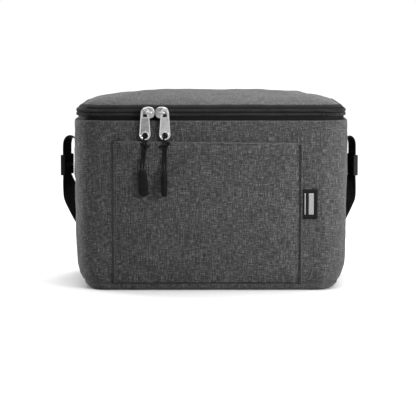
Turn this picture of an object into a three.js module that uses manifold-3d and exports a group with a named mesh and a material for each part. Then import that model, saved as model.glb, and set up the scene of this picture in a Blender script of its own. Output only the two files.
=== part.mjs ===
// An insulated cooler bag: a padded fabric box with a domed lid that opens on a two-slider zip,
// a patch pocket on the front and a webbing shoulder strap.
// Millimetres, +Z up. The origin is the middle of the base, on the ground. The front faces -Y.
import * as THREE from 'three';
import { mergeVertices } from 'three/addons/utils/BufferGeometryUtils.js';
import Module from 'manifold-3d';

const wasm = await Module();
wasm.setup();

// ---- Driving dimensions ----
const HALF_WIDTH = 137.5; // middle of the bag to a side wall, at the rim
const HALF_DEPTH = 85; // middle of the bag to the front or back wall, at the rim
const CORNER_RADIUS = 28; // upright corners, at the rim
const RIM_HEIGHT = 171; // top of the fabric wall
const LID_EDGE = 185.6; // lower edge of the lid's fabric
const LID_INSET = 7; // how far that edge stands inside the rim's outline
const GAP = 0.3; // between pieces that touch

const FABRIC = 1.2; // heather canvas with its coating
const FOAM = 4.5; // closed-cell foam padding
const FOIL = 0.8; // reflective lining
const WEBBING = 1.2; // thickness of the black strap
const WEBBING_WIDTH = 25;

// Depths below the outer surface, where each layer of a wall starts and ends.
const FOAM_OUTER = FABRIC + GAP;
const FOAM_INNER = FOAM_OUTER + FOAM;
const FOIL_OUTER = FOAM_INNER + GAP;
const FOIL_INNER = FOIL_OUTER + FOIL;

// Up the wall: how far it stands inside the rim, and how far the middle of a side bows out.
const WALL_LEVELS = [
  { z: 7.8, inset: 6, bow: 0 },
  { z: 11, inset: 4.4, bow: 0.3 },
  { z: 18, inset: 2.6, bow: 1 },
  { z: 30, inset: 1.8, bow: 1.8 },
  { z: 60, inset: 1.4, bow: 2.8 },
  { z: 100, inset: 1, bow: 3 },
  { z: 140, inset: 0.4, bow: 1.8 },
  { z: RIM_HEIGHT, inset: 0, bow: 0 },
];
const FRONT_BOW_SHARE = 1 / 3; // the front and back bow less than the sides

// Under the wall: the turned-up edge of the base, from the ground to the bottom seam.
const BASE_LEVELS = [
  { z: 0, inset: 20 },
  { z: 0.9, inset: 12.5 },
  { z: 3.4, inset: 8 },
  { z: 7.5, inset: 6.2 },
];

// The base's foam: its rounded underside, and how far its flat top stands inside the rim.
const BASE_FOAM_LEVELS = [{ z: FOAM_OUTER, inset: 35 }, { z: 3.5, inset: 21.5 }];
const BASE_FOAM_INSET = 14;
const CABIN_FLOOR_INSET = 20; // where the lining's floor starts to turn up
const CABIN_CORNER = 9; // height at which it reaches the wall
const BINDING_LOW = 160; // lower edge of the binding inside the rim
const BINDING = 1.2; // its thickness
const LEAST_RADIUS = 6; // of an outline's corners, however deep it lies

// Over the rim: the lid's domed top, from its lower edge to the middle.
const LID_LEVELS = [
  { z: LID_EDGE, inset: LID_INSET },
  { z: 188, inset: 12 },
  { z: 190.4, inset: 24 },
  { z: 193, inset: 39 },
  { z: 195.6, inset: 56 },
  { z: 197.6, inset: 70 },
];
const LID_CROWN = 1.4; // rise of the lid's middle over its last outline
const LID_LINER = { bottom: 186.2, top: 187, inset: 14 }; // the flat lining under the lid
const LID_FOAM = { bottom: 187.3, inset: 17 };
const LID_BINDING = { bottom: 184.4, top: 185.3, outer: 8.6, inner: 18 };

// Zip: two tapes with a coil each, standing in a band between the rim and the lid.
const ZIP_LINE = 178.95; // height at which the two halves meet
const TAPE_DEPTH = 3.6; // outer face of the tape, inside the rim's outline
const TAPE = 0.8;
const COIL_DEPTH = 1.4;
const COIL_HEIGHT = 3.6;
// The upper tape leans in over its coil to the lid's edge: its outer face, as inset and height.
const TAPE_SHOULDER = [[TAPE_DEPTH, 183.2], [4.4, 184.7], [LID_INSET - GAP, 185.5]];
const BAND_END = 104; // the zip ends just round the back corners, this far from the middle

const SLIDER_LENGTH = 13.4;
const SLIDER_HEIGHT = 11.6;
const SLIDER_BACK = HALF_DEPTH - 1; // depths of the slider's plate, measured forward of the middle
const SLIDER_FRONT = HALF_DEPTH + 2.5;
const SLIDER_X = { left: -62.7, right: -48.9 };
const BRIDGE_OPENING = 2.4; // room under the slider's bridge for the puller
const BRIDGE = 1.2;
const BRIDGE_WIDTH = 2.4;
const PEG_OFFSET = 3; // the bridge's outer leg, from the slider's middle; the puller hangs on it
const BRIDGE_REACH = 5.3; // the bridge's other leg, from the slider's middle
const BRIDGE_LEG = 1.6; // each leg's length along the zip
const SLIDER_CUT = 2; // at the slider's two square corners
const SLIDER_NOSE = 3; // length of its rounded end
const SLIDER_BEVEL = 0.5;

const PULLER = 1.8; // thickness
const PULLER_BOTTOM = 152;
const PULLER_TOP_RADIUS = 4.1;
const PULLER_END_RADIUS = 5.6;
const PULLER_HOLE_RADIUS = 3.1;
const PULLER_RIM = 1.2; // metal left under the hole, which the cord goes round
const PULLER_CROWN = 0.6; // middle of the rounded top, over the peg
const WINDOW = { radius: 2, halfWidth: 2.2, depth: 4.4 }; // the opening that the bridge goes through
const PULLER_Y = -(SLIDER_FRONT + BRIDGE_OPENING / 2);
const CORD = 1.8; // diameter
const CORD_SPREAD = 1.25; // each strand of the doubled cord, from their middle
const GRIP_TOP = 123.3;
const GRIP_LENGTH = 27;
const GRIP_WIDTH = 10;
const GRIP_DEPTH = 6;
const GRIP_DROP = 0.2; // the grip starts this far below GRIP_TOP

const POCKET_LEFT = -97.5;
const POCKET_RIGHT = 91;
const POCKET_TOP = { left: 149.5, right: 147.4 };
const POCKET_HEIGHTS = [8.1, 11, 18, 30, 45, 60, 80, 100, 120, 140, POCKET_TOP.right]; // rows of its cloth
const POCKET_ROOM = 3.9; // between the pocket and the wall, in the middle of its mouth
const POCKET_CLEAR = 0.4; // between them along the seams
const LABEL = { left: 91.5, right: 106.5, low: 73, high: 102.5, thickness: 0.9 };

const ANCHOR = { low: 108, high: 143, thickness: 1.8 };
const SLIDE_HEIGHT = 21; // the plastic slide on each side of the strap
const SLIDE_MIDDLE = 121;
const SLIDE_RAIL = 1.6; // width of its two side rails
const SLIDE_ROOM = 0.5; // between a rail and the webbing
const SLIDE_BAR = 1.2; // depth of its bars
const SLIDE_END_BAR = 3; // height of the bar at each end
const SLIDE_MIDDLE_BAR = 4.4; // height of the bar behind the webbing
const SLIDE_TWIST = { left: 15, right: 12 }; // degrees that the strap is turned about the vertical there

// ---- Materials ----
function material(color, roughness, metalness = 0) {
  return new THREE.MeshStandardMaterial({ color, roughness, metalness });
}

const HEATHER = material(0x5c5c5c, 0.95);
const BLACK_TAPE = material(0x1b1b1b, 0.85);
const BLACK_COIL = material(0x262626, 0.5);
const BLACK_PLASTIC = material(0x1d1d1d, 0.45);
const WHITE_FOAM = material(0xe6e6e2, 0.9);
const SILVER_FOIL = material(0xc4c7c9, 0.3, 0.7);
const ZINC = material(0xb9babb, 0.28, 1);

// ---- Building solids ----
// A closed solid from points and triangles, turned so that its faces point out.
function solid(points, triangles) {
  let volume = 0;
  for (let i = 0; i < triangles.length; i += 3) {
    const [a, b, c] = triangles.slice(i, i + 3).map((index) => points[index]);
    volume += a.dot(new THREE.Vector3().crossVectors(b, c));
  }
  const geometry = new THREE.BufferGeometry();
  geometry.setAttribute('position', new THREE.Float32BufferAttribute(points.flatMap((p) => p.toArray()), 3));
  geometry.setIndex(volume > 0 ? triangles : triangles.toReversed());
  return geometry;
}

// A solid through a row of outlines with equally many points each. A loop joins the last outline
// to the first; otherwise a fan closes each end, around a point raised over it by that end's rise. The
// ends of thin sections are closed by strips instead: such an outline is one side, then the other reversed.
// Four-sided faces are split along the same diagonal whether the row goes up or down, so that two
// layers drawn from the same levels stay parallel.
function loft(outlines, { loop = false, strips = false, rises = [0, 0] } = {}) {
  const count = outlines[0].length;
  const points = outlines.flat();
  const triangles = [];
  const spans = loop ? outlines.length : outlines.length - 1;
  for (let span = 0; span < spans; span += 1) {
    const here = span * count;
    const there = ((span + 1) % outlines.length) * count;
    const rising = points[there].z >= points[here].z;
    for (let i = 0; i < count; i += 1) {
      const next = (i + 1) % count;
      triangles.push(here + i, here + next, there + (rising ? next : i));
      triangles.push(there + next, there + i, here + (rising ? i : next));
    }
  }
  if (strips) {
    [0, (outlines.length - 1) * count].forEach((first) => {
      const opposite = first + count - 1;
      for (let i = 0; i < count / 2 - 1; i += 1) {
        const pair = [first + i, first + i + 1];
        const facing = [opposite - i - 1, opposite - i];
        const halves = [...pair, facing[0], pair[0], ...facing];
        triangles.push(...(first === 0 ? halves.toReversed() : halves));
      }
    });
  } else if (!loop) {
    [outlines[0], outlines.at(-1)].forEach((outline, end) => {
      const middle = new THREE.Vector3();
      outline.forEach((point) => middle.addScaledVector(point, 1 / count));
      middle.z += rises[end];
      points.push(middle);
      const first = end * (outlines.length - 1) * count;
      for (let i = 0; i < count; i += 1) {
        const pair = [first + i, first + ((i + 1) % count)];
        triangles.push(...(end === 0 ? pair.toReversed() : pair), points.length - 1);
      }
    });
  }
  return solid(points, triangles);
}

// A thin solid between two surfaces, each given by a function of (column, row).
function slab(columns, rows, front, back) {
  const across = columns.length;
  const outlines = rows.map((row) => [
    ...columns.map((column) => front(column, row)),
    ...columns.toReversed().map((column) => back(column, row)),
  ]);
  const points = outlines.flat();
  const ring = across * 2;
  const triangles = [];
  for (let r = 0; r + 1 < rows.length; r += 1) {
    for (let i = 0; i < ring; i += 1) {
      const next = (i + 1) % ring;
      triangles.push(r * ring + i, r * ring + next, (r + 1) * ring + next);
      triangles.push(r * ring + i, (r + 1) * ring + next, (r + 1) * ring + i);
    }
  }
  for (let i = 0; i + 1 < across; i += 1) {
    const opposite = ring - 1 - i;
    const top = (rows.length - 1) * ring;
    triangles.push(i, opposite, i + 1, i + 1, opposite, opposite - 1);
    triangles.push(top + i, top + i + 1, top + opposite, top + i + 1, top + opposite - 1, top + opposite);
  }
  return solid(points, triangles);
}

function toManifold(geometry) {
  const bare = geometry.clone();
  bare.deleteAttribute('normal');
  bare.deleteAttribute('uv');
  const merged = mergeVertices(bare);
  return new wasm.Manifold(new wasm.Mesh({
    numProp: 3,
    vertProperties: new Float32Array(merged.attributes.position.array),
    triVerts: new Uint32Array(merged.index.array),
  }));
}

function fromManifold(manifold) {
  const mesh = manifold.getMesh();
  const geometry = new THREE.BufferGeometry();
  geometry.setAttribute('position', new THREE.BufferAttribute(mesh.vertProperties, 3));
  geometry.setIndex(new THREE.BufferAttribute(mesh.triVerts, 1));
  return geometry;
}

function joined(geometries) {
  return fromManifold(geometries.map(toManifold).reduce((all, one) => all.add(one)));
}

// A box given by its lowest and highest corner.
function block([x0, y0, z0], [x1, y1, z1]) {
  return new THREE.BoxGeometry(x1 - x0, y1 - y0, z1 - z0)
    .translate((x0 + x1) / 2, (y0 + y1) / 2, (z0 + z1) / 2);
}

// ---- The bag's outline ----
const SIDE_STEPS = 4;
const CORNER_STEPS = 4;
const BAND_STEPS = 5; // round each corner of the zip

// One level outline: a rounded rectangle, whose sides bow outwards by a parabola.
function outline({ z, inset, bow = 0 }) {
  const radius = Math.max(CORNER_RADIUS - inset, LEAST_RADIUS);
  const middleX = HALF_WIDTH - inset - radius;
  const middleY = HALF_DEPTH - inset - radius;
  const points = [];
  for (let quarter = 0; quarter < 4; quarter += 1) {
    const centreX = quarter === 0 || quarter === 3 ? middleX : -middleX;
    const centreY = quarter < 2 ? middleY : -middleY;
    for (let step = 0; step <= CORNER_STEPS; step += 1) {
      const angle = (quarter + step / CORNER_STEPS) * (Math.PI / 2);
      const [across, deep] = [radius * Math.cos(angle), radius * Math.sin(angle)];
      points.push(new THREE.Vector3(centreX + across, centreY + deep, z));
    }
    const alongX = quarter % 2 === 0;
    const outward = quarter === 0 || quarter === 3 ? 1 : -1;
    for (let step = 1; step < SIDE_STEPS; step += 1) {
      const t = 1 - (2 * step) / SIDE_STEPS; // from 1 at the corner just passed to -1 at the next
      const rise = bow * (1 - t * t);
      if (alongX) {
        points.push(new THREE.Vector3(
          outward * t * middleX,
          outward * (HALF_DEPTH - inset + rise * FRONT_BOW_SHARE),
          z,
        ));
      } else {
        points.push(new THREE.Vector3(
          outward * (HALF_WIDTH - inset + rise),
          -outward * t * middleY,
          z,
        ));
      }
    }
  }
  return points;
}

// The wall's inset and bow at any height.
function wallLevel(z) {
  const above = Math.max(1, WALL_LEVELS.findIndex((level) => level.z >= z));
  const [low, high] = [WALL_LEVELS[above - 1], WALL_LEVELS[above]];
  const t = (z - low.z) / (high.z - low.z);
  return {
    z,
    inset: THREE.MathUtils.lerp(low.inset, high.inset, t),
    bow: THREE.MathUtils.lerp(low.bow, high.bow, t),
  };
}

function wallLevels(low, high) {
  const between = WALL_LEVELS.filter((level) => level.z > low && level.z < high);
  return [wallLevel(low), ...between, wallLevel(high)];
}

function deeper(levels, depth) {
  return levels.map((level) => ({ ...level, inset: level.inset + depth }));
}

// How far the front wall reaches forward at (x, z), and a side wall outward at (y, z).
function frontReach(x, z) {
  const { inset, bow } = wallLevel(z);
  const t = x / (HALF_WIDTH - CORNER_RADIUS);
  return HALF_DEPTH - inset + bow * FRONT_BOW_SHARE * (1 - t * t);
}

function sideReach(y, z) {
  const { inset, bow } = wallLevel(z);
  const t = y / (HALF_DEPTH - CORNER_RADIUS);
  return HALF_WIDTH - inset + bow * (1 - t * t);
}

// ---- Box of the bag ----
function wallRing(outerDepth, innerDepth, low, high) {
  const levels = wallLevels(low, high);
  const outer = deeper(levels, outerDepth).map(outline);
  const inner = deeper(levels, innerDepth).map(outline).toReversed();
  return loft([...outer, ...inner], { loop: true });
}

function bottomPanel() {
  const under = BASE_LEVELS.map(outline);
  const upper = BASE_LEVELS.map(({ z, inset }, index) => {
    const last = index === BASE_LEVELS.length - 1;
    return outline({ z: last ? z : z + FABRIC, inset: index === 0 ? inset : inset + FABRIC });
  });
  return loft([...under, ...upper.toReversed()]);
}

function bottomFoam() {
  const top = FOAM_OUTER + FOAM;
  return loft([...BASE_FOAM_LEVELS, { z: top, inset: BASE_FOAM_INSET }].map(outline));
}

function innerLiner() {
  const floor = FOAM_OUTER + FOAM + GAP;
  const levels = wallLevels(CABIN_CORNER, RIM_HEIGHT - GAP);
  return loft([
    outline({ z: floor, inset: CABIN_FLOOR_INSET }),
    ...deeper(levels, FOIL_OUTER).map(outline),
    ...deeper(levels, FOIL_INNER).map(outline).toReversed(),
    outline({ z: floor + FOIL, inset: CABIN_FLOOR_INSET + 0.5 }),
  ]);
}

// ---- Front pocket ----
function pocketPanel() {
  const columns = 10;
  const across = Array.from({ length: columns + 1 }, (_, i) => i / columns);
  const place = (u, z, inFront) => {
    const x = THREE.MathUtils.lerp(POCKET_LEFT, POCKET_RIGHT, u);
    const top = THREE.MathUtils.lerp(POCKET_TOP.left, POCKET_TOP.right, u);
    const height = z === POCKET_TOP.right ? top : z;
    const up = (height - POCKET_HEIGHTS[0]) / (top - POCKET_HEIGHTS[0]);
    const swell = (1 - Math.abs(2 * u - 1) ** 4) * (1 - (1 - up) ** 3);
    const room = POCKET_CLEAR + (POCKET_ROOM - GAP) * swell;
    return new THREE.Vector3(x, -(frontReach(x, height) + room + (inFront ? FABRIC : 0)), height);
  };
  return slab(across, POCKET_HEIGHTS, (u, z) => place(u, z, true), (u, z) => place(u, z, false));
}

function pocketLabel() {
  const face = (depth) => (x, z) => new THREE.Vector3(x, -(frontReach(x, z) + depth), z);
  const columns = [LABEL.left, (LABEL.left + LABEL.right) / 2, LABEL.right];
  const rows = [LABEL.low, (LABEL.low + LABEL.high) / 2, LABEL.high];
  return slab(columns, rows, face(GAP + LABEL.thickness), face(GAP));
}

// ---- Lid ----
// The dome moved down by a depth, from the first level that still clears a floor.
function lidLevels(depth, floor) {
  return LID_LEVELS.slice(1)
    .map(({ z, inset }) => ({ z: z - depth, inset }))
    .filter(({ z }) => z > floor);
}

function lidTop() {
  const outer = LID_LEVELS.map(outline).toReversed();
  const inner = [{ z: LID_EDGE, inset: LID_INSET + FABRIC }, ...lidLevels(FABRIC, LID_EDGE)].map(outline);
  return loft([...outer, ...inner], { rises: [LID_CROWN, LID_CROWN] });
}

function lidFoam() {
  const { bottom, inset } = LID_FOAM;
  const levels = [{ z: bottom, inset }, ...lidLevels(FOAM_OUTER, bottom + GAP)];
  return loft(levels.map(outline), { rises: [0, LID_CROWN] });
}

function lidLiner() {
  const { bottom, top, inset } = LID_LINER;
  return loft([outline({ z: bottom, inset }), outline({ z: top, inset })]);
}

function lidBinding() {
  const { bottom, top, outer, inner } = LID_BINDING;
  const corners = [[outer, bottom], [inner, bottom], [inner, top], [outer, top]];
  return loft(corners.map(([inset, z]) => outline({ z, inset })), { loop: true });
}

// ---- Zip ----
// Points round the rim from one back corner over the front to the other, each with the direction
// that leads out of the bag there.
function bandStations() {
  const centreX = HALF_WIDTH - CORNER_RADIUS;
  const centreY = HALF_DEPTH - CORNER_RADIUS;
  const centres = [[-centreX, centreY], [-centreX, -centreY], [centreX, -centreY], [centreX, centreY]];
  const out = new THREE.Vector3(0, 1, 0);
  const stations = [{ point: new THREE.Vector3(-BAND_END, HALF_DEPTH, 0), out: out.clone() }];
  centres.forEach(([x, y], corner) => {
    for (let step = 0; step <= BAND_STEPS; step += 1) {
      const angle = (corner + 1 + step / BAND_STEPS) * (Math.PI / 2);
      out.set(Math.cos(angle), Math.sin(angle), 0);
      const point = new THREE.Vector3(x, y, 0).addScaledVector(out, CORNER_RADIUS);
      stations.push({ point, out: out.clone() });
    }
  });
  stations.push({ point: new THREE.Vector3(BAND_END, HALF_DEPTH, 0), out: new THREE.Vector3(0, 1, 0) });
  return stations;
}

// A band along those stations with a closed section, whose points are an inset and a height.
function band(section) {
  return loft(bandStations().map(({ point, out }) => section.map(([inset, z]) => (
    point.clone().addScaledVector(out, -inset).setZ(z)
  ))), { strips: true });
}

function upright(depth, thickness, low, high) {
  return [[depth, low], [depth, high], [depth + thickness, high], [depth + thickness, low]];
}

// A tape's section from a lower edge up to the lid, leaning in at the top.
function leaning(low) {
  const outer = [[TAPE_DEPTH, low], ...TAPE_SHOULDER];
  const inner = outer.map(([inset, z], index) => (
    index === outer.length - 1 ? [inset, z - TAPE] : [inset + TAPE, index === 0 ? z : z - TAPE / 2]
  ));
  return [...outer, ...inner.toReversed()];
}

// The slider: a plate in front of the coils, a lip under the lower coil, and a bridge for the puller.
// It is drawn for the left slider, whose peg is on its left.
function sliderSolid(mirror) {
  const half = SLIDER_LENGTH / 2;
  const plate = new THREE.Shape();
  const low = -SLIDER_HEIGHT / 2;
  plate.moveTo(-half, low + SLIDER_CUT);
  plate.lineTo(-half + SLIDER_CUT, low);
  plate.lineTo(half - SLIDER_NOSE, low);
  plate.quadraticCurveTo(half, low + 1, half, 0);
  plate.quadraticCurveTo(half, -low - 1, half - SLIDER_NOSE, -low);
  plate.lineTo(-half + SLIDER_CUT, -low);
  plate.lineTo(-half, -low - SLIDER_CUT);
  plate.closePath();
  const body = new THREE.ExtrudeGeometry(plate, {
    depth: SLIDER_FRONT - SLIDER_BACK - 2 * SLIDER_BEVEL,
    bevelThickness: SLIDER_BEVEL,
    bevelSize: SLIDER_BEVEL,
    bevelOffset: -SLIDER_BEVEL,
    bevelSegments: 1,
    curveSegments: 4,
  });
  body.rotateX(Math.PI / 2).translate(0, -SLIDER_BACK - SLIDER_BEVEL, ZIP_LINE);
  const lipTop = ZIP_LINE - GAP / 2 - COIL_HEIGHT - GAP;
  const lip = block(
    [-half + 1.5, -SLIDER_BACK - 1, ZIP_LINE + low + 0.3],
    [half - 2.5, -(HALF_DEPTH - TAPE_DEPTH) - GAP, lipTop],
  );
  const bridgeBack = -SLIDER_FRONT - BRIDGE_OPENING;
  const zs = [ZIP_LINE - BRIDGE_WIDTH / 2, ZIP_LINE + BRIDGE_WIDTH / 2];
  const spans = [
    [-PEG_OFFSET - BRIDGE_LEG / 2, -PEG_OFFSET + BRIDGE_LEG / 2],
    [BRIDGE_REACH - BRIDGE_LEG, BRIDGE_REACH],
  ];
  const legs = spans.map(([x0, x1]) => (
    block([x0, bridgeBack - BRIDGE, zs[0]], [x1, -SLIDER_FRONT + 1, zs[1]])
  ));
  const bar = block([spans[0][0], bridgeBack - BRIDGE, zs[0]], [spans[1][1], bridgeBack, zs[1]]);
  const left = [body, lip, ...legs, bar];
  return joined(left.map((geometry) => (mirror ? mirrored(geometry) : geometry)));
}

// The same solid reflected in the plane x = 0.
function mirrored(geometry) {
  const copy = geometry.index ? geometry.toNonIndexed() : geometry.clone();
  copy.scale(-1, 1, 1);
  const positions = copy.attributes.position;
  for (let i = 0; i < positions.count; i += 3) {
    const [a, c] = [i, i + 2].map((index) => new THREE.Vector3().fromBufferAttribute(positions, index));
    positions.setXYZ(i, ...c);
    positions.setXYZ(i + 2, ...a);
  }
  return copy;
}

// The puller: a tapered tab with a window at the top for the bridge and a round hole for the cord.
// It is drawn with the peg that it hangs on at the origin.
function pullerSolid() {
  const drop = ZIP_LINE - PULLER_BOTTOM - PULLER_END_RADIUS;
  const shape = new THREE.Shape();
  shape.absarc(0, PULLER_CROWN, PULLER_TOP_RADIUS, 0, Math.PI, false);
  shape.absarc(0, -drop, PULLER_END_RADIUS, Math.PI, 2 * Math.PI, false);
  shape.closePath();
  const window = new THREE.Path();
  window.absarc(0, 0, WINDOW.radius, 0, Math.PI, false);
  window.lineTo(-WINDOW.halfWidth, -WINDOW.depth);
  window.lineTo(WINDOW.halfWidth, -WINDOW.depth);
  window.closePath();
  const hole = new THREE.Path();
  const holeZ = PULLER_BOTTOM + PULLER_RIM + PULLER_HOLE_RADIUS - ZIP_LINE;
  hole.absarc(0, holeZ, PULLER_HOLE_RADIUS, 0, 2 * Math.PI, false);
  shape.holes.push(window, hole);
  return new THREE.ExtrudeGeometry(shape, { depth: PULLER, bevelEnabled: false, curveSegments: 10 })
    .translate(0, 0, -PULLER / 2)
    .rotateX(Math.PI / 2);
}

// The doubled cord: up in front of the puller, through its hole, round the rim and down again.
// It is drawn with the middle of the rim at the origin; grip is where the two strands end.
function cordSolid(grip) {
  const turn = 2.25; // radius of the loop round the rim
  const front = -3.6;
  const points = [
    [grip.x - CORD_SPREAD, grip.y, grip.z],
    [grip.x * 0.6 - CORD_SPREAD, front, grip.z * 0.6],
    [-CORD_SPREAD, front, -5],
    [-CORD_SPREAD, front + 0.5, -1.5],
    [-0.9, -1.9, 1.6],
    [-0.2, 0, turn],
    [0.5, 1.6, 1.6],
    [0.9, turn, 0],
    [1.1, 1.6, -1.6],
    [CORD_SPREAD, -0.3, -turn],
    [CORD_SPREAD, -2.5, -3],
    [CORD_SPREAD, front, -6],
    [grip.x * 0.6 + CORD_SPREAD, front, grip.z * 0.6],
    [grip.x + CORD_SPREAD, grip.y, grip.z],
  ];
  const path = new THREE.CatmullRomCurve3(points.map((point) => new THREE.Vector3(...point)));
  const section = new THREE.Shape();
  section.absarc(0, 0, CORD / 2, 0, 2 * Math.PI, false);
  return new THREE.ExtrudeGeometry(section, { steps: 30, extrudePath: path, curveSegments: 4 });
}

// The moulded grip, drawn hanging from the origin, its wide face to the front.
function gripSolid() {
  const sections = [
    { z: 0, across: 0.5, deep: 0.5 },
    { z: -1, across: 0.72, deep: 0.75 },
    { z: -4, across: 0.86, deep: 1 },
    { z: -GRIP_LENGTH + 5, across: 1, deep: 1 },
    { z: -GRIP_LENGTH + 1.5, across: 0.82, deep: 0.85 },
    { z: -GRIP_LENGTH, across: 0.45, deep: 0.5 },
  ];
  const sides = 16;
  return loft(sections.map(({ z, across, deep }) => Array.from({ length: sides }, (_, i) => {
    const angle = ((i + 0.5) / sides) * 2 * Math.PI;
    const squared = (value) => Math.sign(value) * Math.sqrt(Math.abs(value));
    return new THREE.Vector3(
      (GRIP_WIDTH / 2) * across * squared(Math.cos(angle)),
      (GRIP_DEPTH / 2) * deep * squared(Math.sin(angle)),
      z,
    );
  })));
}

// ---- Shoulder strap ----
// The strap's middle line, from the left anchor to the right one. The spare length lies behind the
// bag on its edge, in three runs.
const FLOOR = WEBBING_WIDTH / 2 + GAP;
const STRAP_ROUTE = [
  [-139.9, 0, 143.4], [-140.4, 0, 146.8], [-142.4, 0, 149.3], [-145.3, 0, 149.7], [-147.9, 0, 147.9],
  [-149.2, 0, 144.4], [-149.6, 0, 140], [-149.6, 0, 129], [-149.6, 0, 118], [-149.6, 0, 109.5],
  [-149.5, 2.5, 102], [-149.2, 9.5, 96], [-148.5, 20, 91], [-147.5, 32, 85.8], [-146.2, 44.5, 80],
  [-144.4, 57, 73.2], [-141.5, 69.5, 65], [-136.5, 81, 56], [-127.5, 90.5, 46.5], [-113, 98, 36.5],
  [-96, 101, 27.5], [-78, 101, 19.5], [-59, 101, 14.5], [-38, 101, FLOOR], [0, 101, FLOOR],
  [45, 101, FLOOR], [95, 101, FLOOR], [107, 104, FLOOR],
  [112, 111.5, FLOOR], [107, 119, FLOOR], [95, 122, FLOOR], [45, 122, FLOOR], [0, 122, FLOOR],
  [-45, 122, FLOOR], [-95, 122, FLOOR], [-107, 125, FLOOR], [-112, 132.5, FLOOR], [-107, 140, FLOOR],
  [-95, 143, FLOOR], [-45, 143, FLOOR], [0, 143, FLOOR], [30, 143, FLOOR], [58, 141.5, 15.5],
  [84, 136, 22.5], [106, 125.5, 32], [123, 111, 43], [134, 94.5, 53.5], [140, 78, 63.5],
  [143, 62.5, 72.5], [144.9, 48, 80.3], [146.2, 35, 86.8], [147, 22, 92.2], [147.2, 10.5, 97],
  [147.1, 2.6, 102.6], [147, 0, 109.5], [147, 0, 119], [147, 0, 130], [147, 0, 140], [146.7, 0, 144.2],
  [145.6, 0, 147.8], [143.5, 0, 149.6], [141.2, 0, 148.7], [140.1, 0, 146.2], [139.9, 0, 143.4],
];
const SAMPLES_PER_POINT = 2;
// Which way the strap's width points at four points of the route: below the left slide, at both
// ends of the stretch on the ground, and below the right slide.
const STRAP_STATIONS = [
  { at: 9, across: new THREE.Vector3(0, 1, 0) },
  { at: 23, across: new THREE.Vector3(0, 0, 1) },
  { at: 41, across: new THREE.Vector3(0, 0, 1) },
  { at: 54, across: new THREE.Vector3(0, 1, 0) },
];
// The slides' twist comes in and goes out again over these counts of route points from each end.
const TWIST_IN = [0, 5];
const TWIST_OUT = [11, 17];

// Widthwise directions along the strap: each is carried over from the one before without turning
// about the strap, and the turn that a station needs is then shared out since the station before.
function strapFrames() {
  const route = STRAP_ROUTE.map((point) => new THREE.Vector3(...point));
  const curve = new THREE.CatmullRomCurve3(route, false, 'catmullrom');
  const last = STRAP_ROUTE.length - 1;
  const count = last * SAMPLES_PER_POINT;
  const frames = [];
  const carried = new THREE.Vector3(0, 1, 0);
  const bend = new THREE.Quaternion();
  for (let i = 0; i <= count; i += 1) {
    const along = curve.getTangent(i / count);
    if (i > 0) carried.applyQuaternion(bend.setFromUnitVectors(frames[i - 1].along, along));
    const point = curve.getPoint(i / count);
    frames.push({ at: i / SAMPLES_PER_POINT, point, along, across: carried.clone() });
  }
  const turns = STRAP_STATIONS.map((station) => {
    const { along, across } = frames[station.at * SAMPLES_PER_POINT];
    const sideways = new THREE.Vector3().crossVectors(along, across);
    return Math.atan2(sideways.dot(station.across), across.dot(station.across));
  });
  frames.forEach((frame) => {
    const { clamp, lerp, smoothstep, degToRad } = THREE.MathUtils;
    const next = STRAP_STATIONS.findIndex(({ at }) => at >= frame.at);
    const stretch = next < 0 ? STRAP_STATIONS.length - 1 : Math.max(next, 1);
    const [from, to] = [STRAP_STATIONS[stretch - 1].at, STRAP_STATIONS[stretch].at];
    const shared = lerp(turns[stretch - 1], turns[stretch], clamp((frame.at - from) / (to - from), 0, 1));
    const fromEnd = Math.min(frame.at, last - frame.at);
    const twist = smoothstep(fromEnd, ...TWIST_IN) * (1 - smoothstep(fromEnd, ...TWIST_OUT));
    const side = frame.at < last / 2 ? 'left' : 'right';
    frame.across.applyAxisAngle(frame.along, shared + twist * degToRad(SLIDE_TWIST[side]));
  });
  return frames;
}

function strapSolid() {
  return loft(strapFrames().map(({ point, along, across }) => {
    const through = new THREE.Vector3().crossVectors(along, across);
    const corners = [[1, 1], [1, -1], [-1, -1], [-1, 1]];
    return corners.map(([wide, thick]) => point.clone()
      .addScaledVector(across, (wide * WEBBING_WIDTH) / 2)
      .addScaledVector(through, (thick * WEBBING) / 2));
  }));
}

// The sewn-down end of the strap on a side wall; side is -1 for the left and 1 for the right.
function strapAnchor(side) {
  const face = (depth) => (y, z) => new THREE.Vector3(side * (sideReach(y, z) + depth), y, z);
  const columns = [-1, -0.5, 0, 0.5, 1].map((t) => (t * WEBBING_WIDTH) / 2);
  const rows = [ANCHOR.low, (ANCHOR.low + ANCHOR.high) / 2, 140, ANCHOR.high];
  return slab(columns, rows, face(GAP + ANCHOR.thickness), face(GAP));
}

// The strap's slide, drawn upright around the strap: two end bars outside it, one bar inside it.
function strapSlide() {
  const inner = WEBBING_WIDTH / 2 + SLIDE_ROOM;
  const rail = { inner, outer: inner + SLIDE_RAIL };
  const clear = WEBBING / 2 + GAP;
  const reach = clear + SLIDE_BAR;
  const top = SLIDE_HEIGHT / 2;
  const rails = [-1, 1].map((side) => {
    const [y0, y1] = [side * rail.inner, side * rail.outer].sort((a, b) => a - b);
    return block([-reach, y0, -top], [reach, y1, top]);
  });
  const ends = [[-top, -top + SLIDE_END_BAR], [top - SLIDE_END_BAR, top]].map(([z0, z1]) => (
    block([clear, -rail.outer, z0], [reach, rail.outer, z1])
  ));
  const half = SLIDE_MIDDLE_BAR / 2;
  const middle = block([-reach, -rail.outer, -half], [-clear, rail.outer, half]);
  return joined([...rails, ...ends, middle]);
}

// ---- Assembly ----
const bag = new THREE.Group();

function add(parent, name, geometry, look) {
  const mesh = new THREE.Mesh(geometry, look);
  mesh.name = name;
  parent.add(mesh);
  return mesh;
}

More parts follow.
